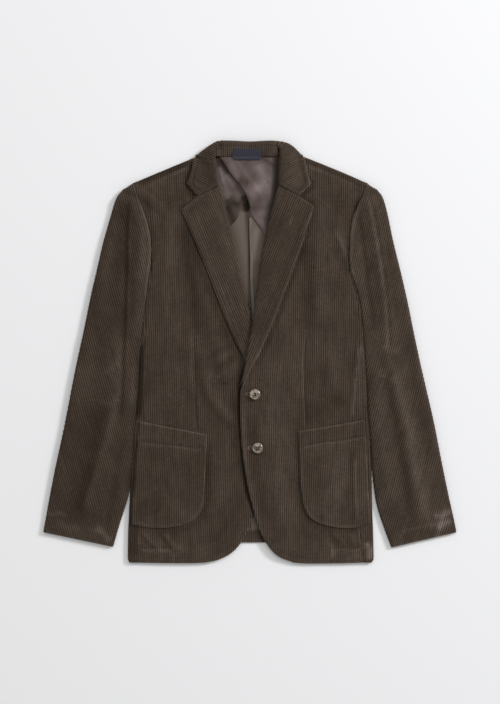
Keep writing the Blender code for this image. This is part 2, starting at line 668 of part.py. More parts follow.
for thing in list(bpy.data.objects):
    bpy.data.objects.remove(thing, do_unlink=True)

for wearer_side in (-1, 1):
    side_panel(wearer_side)
    back(wearer_side)
    sleeve(wearer_side)
front(
    "front_right", NECKLINE_RIGHT, LAPEL_RIGHT, FRONT_RIGHT_EDGE, HEM_RIGHT, SHOULDER_RIGHT,
    ARMHOLE_RIGHT, 2, -1, body_height,
)
front(
    "front_left", NECKLINE_LEFT, LAPEL_LEFT, FRONT_LEFT_EDGE, HEM_LEFT, SHOULDER_LEFT,
    ARMHOLE_LEFT, 4, 1, front_left_height,
)
lapel("lapel_right", LAPEL_RIGHT, NOTCH_RIGHT, body_height)
lapel("lapel_left", LAPEL_LEFT, NOTCH_LEFT, front_left_height)
collar()
panel("pocket_right", POCKET_RIGHT, lambda x, y: body_height(x, y) + POCKET_LIFT, CLOTH, CORDUROY, 11, 9)
panel("pocket_left", POCKET_LEFT, lambda x, y: front_left_height(x, y) + POCKET_LIFT, CLOTH, CORDUROY, 11, 9)
panel("collar_stand", STAND, stand_height, CLOTH, CORDUROY, 4, 12)
panel("neck_label", LABEL, lambda x, y: stand_height(x, y) + 2.0, LINING, NAVY, 6, 6)
panel("lining_right", LINING_RIGHT, level(LINING_LEVEL), LINING, SATIN, 10, 4)
panel("lining_left", LINING_LEFT, lining_left_height, LINING, SATIN, 12, 9)
panel("centre_back_binding", BINDING, level(LINING_LEVEL), LINING, SATIN, 8, 2)
for button_name, button_x, button_y in BUTTONS:
    button(button_name, button_x, button_y)
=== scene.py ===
"""Looks of a corduroy jacket laid flat on its back: cloth shells, sewing, buttons, light and camera.

The collar points along +Y and the fronts face +Z. A side is -1 for the wearer's right, which is at -X, and 1
for the wearer's left. Lengths are in millimetres until a mesh is made.
"""

import math

import bpy
import numpy as np
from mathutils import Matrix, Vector
from mathutils.kdtree import KDTree


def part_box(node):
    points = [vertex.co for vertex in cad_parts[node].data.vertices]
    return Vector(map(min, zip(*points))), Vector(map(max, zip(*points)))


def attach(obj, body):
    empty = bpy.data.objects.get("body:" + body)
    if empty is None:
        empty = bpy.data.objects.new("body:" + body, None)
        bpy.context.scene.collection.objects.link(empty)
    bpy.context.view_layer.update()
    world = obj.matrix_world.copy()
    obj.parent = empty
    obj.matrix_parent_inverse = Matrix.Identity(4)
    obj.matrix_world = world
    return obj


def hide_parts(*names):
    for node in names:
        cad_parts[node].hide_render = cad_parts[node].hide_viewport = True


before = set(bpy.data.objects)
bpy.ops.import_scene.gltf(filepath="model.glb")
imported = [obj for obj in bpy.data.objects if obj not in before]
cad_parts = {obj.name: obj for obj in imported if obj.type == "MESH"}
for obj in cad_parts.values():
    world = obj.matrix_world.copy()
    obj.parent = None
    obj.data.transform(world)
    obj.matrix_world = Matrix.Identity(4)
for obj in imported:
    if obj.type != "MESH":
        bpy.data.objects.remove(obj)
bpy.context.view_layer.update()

MM = 0.001
CLOTH = 2.0  # thickness of the corduroy
LINING = 1.0
SEAM = 0.35  # gap between neighbouring pieces

# Levels of the cloth's middle above the surface that the jacket lies on.
FLOOR = CLOTH / 2
BODY_TOP = 5.4  # the fronts, where they lie on the back
SLEEVE_TOP = 6.0
COLLAR_TOP = 14.0  # the collar's fold round the neck
COLLAR_SIDE_TOP = 8.8  # the collar where it passes over the side of the neck
STAND_FOOT = 4.6
LINING_LEVEL = 2.9
TURNED_UP_LEVEL = 2.75
LAYER = CLOTH + 0.4  # from one cloth to the next that lies on it
POCKET_LIFT = LAYER + 0.8
OVERLAP_RISE = 2.8  # the left front on the right one
CROSSING_RISE = 3.9  # and on the feet of the lapels
ROLL = 3.4  # radius of the rolls of collar and lapels
EDGE_GAP = 1.2  # from a lapel's roll to the edge of its front
PUFF_OVER = 1.5  # how far the sleeve's head puffs over the front
HEM_CENTRE = -352.4
HEM_CORNER = (0.7, 3.6)  # how far the side panel's last rows draw in where the hem's corner is rounded
ALLOWANCE_WIDTH = 18.0  # of the seam allowances under the armhole seams

WALE = 4.0  # pitch of the cords
WALE_HEIGHT = 0.36  # from groove to crown, each way
PANEL_GRAIN = 0.02  # how far the cords lean outward, in radians
SLEEVE_GRAIN = 0.26
LAPEL_GRAIN = -0.39
FREE = 1.7  # how far in from a free edge the cloth rounds over
SEWN = 0.7  # and from an edge that is sewn to its neighbour
ROW_INSET = 1.3  # the rounded end of a row, where it is sampled closely
EDGE_WEAR = 0.95  # how much lighter the rubbed pile of an edge is
EDGE_WEAR_REACH = 0.62  # as a share of the rounding

TOPSTITCH_IN = 7.5  # the row of topstitching from an edge
POCKET_STITCH_IN = 5.6
COLLAR_STITCH_IN = 6.0
STITCH_PITCH = 3.6
STITCH_LENGTH = 2.6
STITCH_SINK = 0.05  # how deep the thread lies in the pile
SWELL = 0.55  # how far the cloth swells between an edge and its topstitching
DIP = 0.5  # how deep the stitching pulls it down

# Side fold of the body and the seam between front and side panel, from the underarm to the hem.
BODY_SIDE = (
    # y, fold_right, seam_right, fold_left, seam_left, seam_under
    (150, -186.2, -181.8, 187.0, 182.6, 170.0),
    (96, -192.7, -188.3, 201.2, 196.8, 158.0),
    (59, -197.1, -192.3, 206.6, 200.9, 153.0),
    (4, -202.6, -195.8, 211.6, 200.5, 150.0),
    (-52, -206.2, -196.0, 214.7, 192.0, 150.0),
    (-126, -211.5, -197.0, 218.7, 188.0, 150.0),
    (-200, -217.6, -201.0, 223.6, 192.0, 150.0),
    (-274, -222.3, -205.0, 225.0, 197.0, 150.0),
    (-330, -225.0, -207.0, 227.0, 202.5, 150.0),
    (-389, -226.0, -207.0, 228.5, 209.0, 150.0),
)

SLEEVE_RIGHT = (
    # outer_x, outer_y, inner_x, inner_y, turned: share of the inner edge that is turned under
    (-236, 297, -215.4, 305.3, 0.0),
    (-244, 288, -208.4, 287, 0.0),
    (-250.5, 274, -200.9, 268, 0.0),
    (-257, 252, -192.0, 243, 0.0),
    (-264, 228, -184.5, 207, 0.0),
    (-272, 199, -185.0, 166, 0.15),
    (-281, 160, -188.5, 134, 0.6),
    (-294, 104, -194.5, 84, 1.0),
    (-308, 36, -202.0, 16, 1.0),
    (-324, -38, -207.0, -60, 1.0),
    (-341, -126, -213.5, -150, 1.0),
    (-357, -202, -219.8, -228, 1.0),
    (-363, -232, -221.6, -252, 1.0),
    (-369, -262, -228.6, -280, 1.0),
    (-376, -300, -242.0, -322, 1.0),
    (-382, -333, -253.0, -360, 1.0),
)
SLEEVE_LEFT = (
    # outer_x, outer_y, inner_x, inner_y, turned
    (236, 297, 215.4, 305.3, 0.0),
    (243.5, 288, 207.3, 285, 0.0),
    (249.5, 272, 198.6, 267, 0.0),
    (256, 246, 190.2, 245, 0.0),
    (264, 207, 185.9, 207, 0.0),
    (273, 170, 185.5, 158, 0.15),
    (282, 133, 192.0, 132, 0.6),
    (293, 84, 203.9, 84, 1.0),
    (306, 20, 211.1, 10, 1.0),
    (322, -52, 215.4, -66, 1.0),
    (340, -130, 220.0, -146, 1.0),
    (356, -212, 226.0, -226, 1.0),
    (368, -270, 233.5, -280, 1.0),
    (376, -306, 246.5, -322, 1.0),
    (381.5, -333, 261.0, -361, 1.0),
)

# Edges of the fronts: round the neck under the collar, and from the foot of the lapel to the hem. Between
# the two the edge follows the lapel's roll.
NECKLINE_RIGHT = ((-90, 353), (-82, 333), (-72, 316))
NECKLINE_LEFT = ((88, 354), (79, 333), (69, 316))
FRONT_RIGHT_EDGE = (
    (28, -66), (32, -100), (33, -163), (29, -237), (20, -275), (6, -305), (-6, -333), (-18, -354),
    (-31, -368.5), (-46, -378.5), (-65, -385.6), (-84, -389),
)
FRONT_LEFT_EDGE = (
    (-15.6, -65), (-16.9, -70), (-17.5, -80), (-18, -110), (-17, -150), (-14, -185), (-6, -237), (3, -278),
    (14, -318), (28, -350), (50, -376), (80, -389),
)
HEM_RIGHT = ((-84, -389), (-108, -390), (-160, -390), (-206, -389))
HEM_LEFT = ((80, -389), (104, -391), (160, -391), (208, -390))
SHOULDER_RIGHT = ((-94, 362.5), (-139, 344), (-183, 325.5), (-217, 311))
SHOULDER_LEFT = ((92, 363.5), (141, 344), (185, 325.5), (217, 311))
ARMHOLE_RIGHT = (
    (-214.5, 305), (-207.5, 287), (-200, 268), (-191, 243), (-183.5, 207), (-182, 189), (-181.5, 172),
)
ARMHOLE_LEFT = (
    (214.5, 305), (206.4, 285), (197.7, 267), (189.3, 245), (185, 207), (183, 186), (182, 170),
)

LAPEL_RIGHT = (
    # roll_x, roll_y, edge_x, edge_y
    (-57, 306.2, -127, 263),
    (-46, 263, -117, 240),
    (-39, 235, -105, 213),
    (-31, 207, -92, 181),
    (-24, 174, -79, 150),
    (-17, 139, -67, 118),
    (-9, 111, -56, 87),
    (-3, 78, -46, 62),
    (3, 40, -33, 32),
    (9, 12, -18, 2),
    (15, -12, -5, -20),
    (20, -32, 8, -36),
)
LAPEL_LEFT = (
    # roll_x, roll_y, edge_x, edge_y
    (53, 306.4, 118, 269),
    (41, 263, 109, 240),
    (34, 235, 98, 204),
    (27, 204, 87, 172),
    (20, 166, 76, 142),
    (15, 128, 63, 108),
    (10, 90, 51, 74),
    (5, 52, 37, 40),
    (0, 22, 24, 9),
    (-5, -5, 10, -17),
    (-10.5, -36, -3.5, -42),
    (-14.6, -61.5, -11.8, -64),
)
NOTCH_RIGHT = (-97, 288.6)
NOTCH_LEFT = (91, 288.6)

# Collar leaf from the right tip round the back of the neck to the left tip: the fold, the point where
# the leaf passes over the side of the neck, and its outer edge, which lies underneath at the back.
COLLAR = (
    # fold_x, fold_y, over_x, over_y, edge_x, edge_y, under, lead
    (-58.5, 306.5, -97, 288.5, -117, 311, 0.0, 1.0),
    (-61, 318, -89, 308, -114, 318, 0.0, 1.0),
    (-63, 331, -87, 327, -108.5, 333, 0.0, 1.0),
    (-64, 343, -86, 341, -106, 346, 0.0, 1.0),
    (-65, 355, -92, 354, -104, 358, 0.1, 1.0),
    (-65, 361, -101, 361, -99, 357.5, 0.6, 1.0),
    (-65, 367, -96, 365.3, -91, 357, 1.0, 1.0),
    (-64, 375, -85, 373.4, -79, 354, 1.0, 1.0),
    (-60, 379.5, -72, 382.6, -68, 352.5, 1.0, 0.7),
    (-52, 381, -58, 389.6, -55, 352, 1.0, 0.2),
    (-30, 381, -30, 390, -30, 352, 1.0, 0.0),
    (0, 380, 0, 388.5, 0, 352, 1.0, 0.0),
    (30, 381, 30, 390, 30, 352, 1.0, 0.0),
    (46, 381, 50, 389.5, 50, 352, 1.0, 0.2),
    (52, 379, 69, 385.5, 64, 352.5, 1.0, 0.7),
    (56, 374, 82, 377.5, 76, 354, 1.0, 1.0),
    (56, 366, 92.5, 367, 88, 357, 1.0, 1.0),
    (56, 360.5, 97.5, 361, 95, 357.5, 0.6, 1.0),
    (56, 355, 88, 354, 100.5, 358, 0.1, 1.0),
    (55, 343, 81, 342, 103.5, 346, 0.0, 1.0),
    (55, 331, 83, 328, 106, 333, 0.0, 1.0),
    (54, 318, 84, 309, 109, 319, 0.0, 1.0),
    (54.5, 306.5, 91, 288.5, 113, 310.5, 0.0, 1.0),
)

POCKET_RIGHT = {
    "top": ((-79.5, -152), (-143, -140), (-203.5, -128)),
    "bottom": ((-87, -287), (-96, -302), (-115, -316), (-148, -324), (-185, -324), (-218.5, -318)),
    "inner": ((-79.5, -152), (-82, -200), (-84, -250), (-87, -287)),
    "outer": ((-203.5, -128), (-209, -180), (-214.5, -250), (-218.5, -318)),
}
POCKET_LEFT = {
    "top": ((89, -146), (150, -136), (211.5, -125)),
    "bottom": ((97, -275), (106, -299), (124, -314), (155, -323), (190, -325), (221.5, -316)),
    "inner": ((89, -146), (92, -190), (93, -235), (97, -275)),
    "outer": ((211.5, -125), (214.5, -180), (218.5, -250), (221.5, -316)),
}

# What shows in the neck.
STAND = {
    "top": ((-62, 379.0), (-30, 381.8), (0, 381.2), (30, 381.8), (51, 379.0)),
    "bottom": ((-65, 361.2), (0, 361.0), (52, 361.2)),
    "inner": ((-62, 379.0), (-65, 361.2)),
    "outer": ((51, 379.0), (52, 361.2)),
}
LABEL = {
    "top": ((-29.6, 374.7), (21.5, 374.2)),
    "bottom": ((-27.8, 355.2), (21.5, 356)),
    "inner": ((-29.6, 374.7), (-33.4, 362), (-27.8, 355.2)),
    "outer": ((21.5, 374.2), (21.5, 356)),
}
LINING_RIGHT = {
    "top": ((-68, 360.6), (-44, 360.6)),
    "bottom": ((-44, 224), (-37, 231), (-24, 247), (-17, 263), (-7, 281)),
    "inner": ((-68, 360.6), (-66, 320), (-58, 270), (-44, 224)),
    "outer": ((-44, 360.6), (-26, 337), (-6, 306), (-7, 281)),
}
LINING_LEFT = {
    "top": ((-57, 360.6), (0, 360.6), (58, 360.6)),
    "bottom": ((36, 203), (56, 215)),
    "inner": ((-57, 360.6), (-35, 328), (-13, 300), (0, 268), (5, 250), (15, 235), (36, 203)),
    "outer": ((58, 360.6), (58, 320), (58, 270), (56, 215)),
}
BINDING = {
    "top": ((-2, 248), (4, 248)),
    "bottom": ((4, 60), (10, 60)),
    "inner": ((-2, 248), (-0.5, 185), (1, 115), (4, 60)),
    "outer": ((4, 248), (5.5, 185), (7, 115), (10, 60)),
}

# The hem of the back, turned up inside: its face shows between the rounded fronts.
TURNED_UP = {
    "top": ((-44, -327.4), (0, -327.4), (44, -327.4)),
    "bottom": ((-44, -352.2), (0, -352.0), (44, -352.2)),
    "inner": ((-44, -327.4), (-44, -352.2)),
    "outer": ((44, -327.4), (44, -352.2)),
}

SHOULDER_OUT = np.array((0.39, 0.92))  # square to the shoulder, on the wearer's left
BUTTONS = (
    # name, x, y, eyelet_x
    ("button_upper", 9.0, -78.0, -2.2),
    ("button_lower", 14.0, -177.0, 1.0),
)

# The cut of each piece before it was sewn: width, length and area in metres, and what it lies on.
CUTS = (
    # piece, width, length, area, held, rests_on
    ("back_right", 0.222, 0.715, 0.114, "laid", ()),
    ("back_left", 0.222, 0.715, 0.114, "laid", ()),
    ("side_panel_right", 0.096, 0.542, 0.0385, "folded", ()),
    ("side_panel_left", 0.106, 0.544, 0.0460, "folded", ()),
    ("sleeve_under_right", 0.102, 0.648, 0.0470, "laid", ()),
    ("sleeve_under_left", 0.095, 0.652, 0.0425, "laid", ()),
    ("sleeve_top_right", 0.190, 0.698, 0.1005, "folded", ("sleeve_under_right",)),
    ("sleeve_top_left", 0.182, 0.700, 0.0930, "folded", ("sleeve_under_left",)),
    ("front_right", 0.234, 0.812, 0.141, "laid", ("back_right", "back_left")),
    ("front_left", 0.208, 0.810, 0.134, "laid", ("back_left", "front_right")),
    ("lapel_right", 0.094, 0.348, 0.0200, "folded", ("front_right",)),
    ("lapel_left", 0.091, 0.378, 0.0192, "folded", ("front_left",)),
    ("pocket_right", 0.148, 0.192, 0.0232, "laid", ("front_right", "side_panel_right")),
    ("pocket_left", 0.151, 0.196, 0.0226, "laid", ("front_left", "side_panel_left")),
    ("collar", 0.352, 0.082, 0.0175, "folded", ("front_right", "front_left")),
    ("collar_stand", 0.119, 0.024, 0.0026, "laid", ("back_right", "back_left")),
    ("neck_label", 0.055, 0.024, 0.0011, "laid", ("collar_stand",)),
    ("lining_right", 0.070, 0.140, 0.0055, "laid", ("back_right",)),
    ("lining_left", 0.116, 0.186, 0.0104, "laid", ("back_left", "lining_right")),
    ("centre_back_binding", 0.010, 0.188, 0.0012, "laid", ("back_left",)),
)

# The band across each pocket's mouth.
BANDS = {
    "pocket_right": ((-205, -165), (-150, -171), (-79, -178)),
    "pocket_left": ((90, -174), (150, -166), (217, -154)),
}

# Soft rolls of the cloth, by what they lift: half width, height and line. All lines here run smoothly
# through their points.
RIDGES = {
    "body": (
        (24, 2.6, ((-152, 235), (-150, 110), (-152, 0), (-160, -90))),
        (20, 3.2, ((-92, 150), (-72, 70), (-55, 10))),
        (15, 3.8, ((-74, 30), (-44, -40), (-22, -100))),
        (24, 2.2, ((-58, -190), (-52, -270), (-62, -340))),
        (18, 2.4, ((-168, -215), (-138, -262), (-108, -312))),
        (8, 2, ((-202, -322), (-180, -338), (-158, -362))),
        (8, 2, ((-166, -328), (-146, -345), (-130, -366))),
        (20, 2.6, ((128, 262), (136, 200), (142, 140))),
        (10, 3, ((158, 232), (170, 190), (180, 158))),
        (22, 2.8, ((64, 70), (70, -10), (72, -90))),
        (20, 2, ((146, 60), (150, -20), (150, -100))),
        (8, 2, ((203, 30), (203, -40), (203, -110))),
        (7, 2, ((192, -165), (196, -240), (199, -312))),
        (20, 2.4, ((40, -200), (52, -270), (66, -345))),
        (8, 2, ((158, -326), (176, -340), (196, -352))),
        (46, 6, ((-196, 276), (-182, 292))),
        (46, 6, ((194, 276), (182, 292))),
    ),
    "sleeve_right": (
        (40, 5, ((-226, 262), (-218, 288))),
        (12, 6.5, ((-207, 276), (-199, 235), (-201, 180), (-208, 110), (-214, 40))),
        (17, 5, ((-250, 96), (-256, 22), (-262, -80), (-282, -190), (-306, -300))),
        (8, 2.6, ((-219, -25), (-218, -100), (-224, -160))),
        (18, 3.6, ((-262, 215), (-299, 40), (-342, -150), (-362, -290))),
    ),
    "sleeve_left": (
        (40, 5, ((226, 262), (218, 288))),
        (12, 6.5, ((218, 280), (230, 235), (239, 175), (249, 115), (252, 40), (250, -15))),
        (14, 5, ((262, -15), (276, -85), (290, -160), (304, -235), (330, -318))),
        (18, 3.6, ((268, 190), (300, 60), (336, -100), (366, -250))),
        (12, 3, ((222, 60), (232, -40), (246, -160), (262, -270))),
    ),
}

# Creases and rolls too fine for the solids, told in the same way.
CREASES = {
    "body": (
        (9, -2.4, ((-124, 235), (-116, 150), (-106, 70), (-98, 30))),
        (10, -2.2, ((104, 190), (108, 100), (102, 40))),
        (5, 0.9, ((-40, 0), (-62, -20), (-80, -48))),
        (5, 0.8, ((-36, -18), (-56, -36), (-70, -62))),
        (6, -1.2, ((110, -66), (140, -90), (176, -100))),
    ),
    "sleeve_right": (
        (9, -2.6, ((-222, 280), (-228, 250), (-229, 200), (-231, 95), (-235, -50), (-242, -130))),
        (7, 1.4, ((-214, -30), (-216, -60), (-221, -100))),
    ),
    "sleeve_left": (
        (9, -2.4, ((199, 254), (210, 207), (218, 152), (228, 78))),
    ),
}

# Soft ripples of the lining: half width, height and line.
RIPPLES = {
    "lining_right": (
        (5, 0.9, ((-52, 330), (-40, 318), (-26, 306))),
        (4, -0.6, ((-50, 318), (-40, 308), (-28, 296))),
        (3, 1.2, ((-58, 342), (-53, 322), (-46, 300))),
        (5, 1.4, ((-44, 286), (-34, 262), (-26, 240))),
    ),
    "lining_left": (
        (6, 0.9, ((-38, 350), (-30, 336), (-22, 322))),
        (4, -0.8, ((-22, 326), (-10, 316), (2, 308))),
        (8, 1.5, ((-2, 290), (10, 297), (24, 304), (36, 312))),
        (8, 0.8, ((12, 346), (20, 330), (32, 316))),
        (5, -0.8, ((-4, 268), (8, 260), (24, 262))),
        (5, 1.2, ((10, 246), (22, 238), (34, 226))),
    ),
}

# Darts, hem stitching and the seam over the shoulder: half width, depth and line.
GROOVES = {
    "front_right": (
        (1.3, 0.7, ((-108, 35), (-106, -40), (-101, -100), (-97, -150))),
        (1.2, 0.45, ((-207, -361), (-180, -361), (-148, -361), (-146, -375), (-146, -388))),
        (1.3, 0.8, ((-110, 349), (-139, 336), (-183, 318), (-212, 305))),
    ),
    "front_left": (
        (1.3, 0.7, ((105, 37), (100, -15), (100, -60), (103, -140))),
        (1.2, 0.45, ((209, -361), (180, -361), (150, -361), (148, -375), (148, -388))),
        (1.3, 0.8, ((108, 350), (141, 336), (185, 318), (212, 305))),
    ),
}

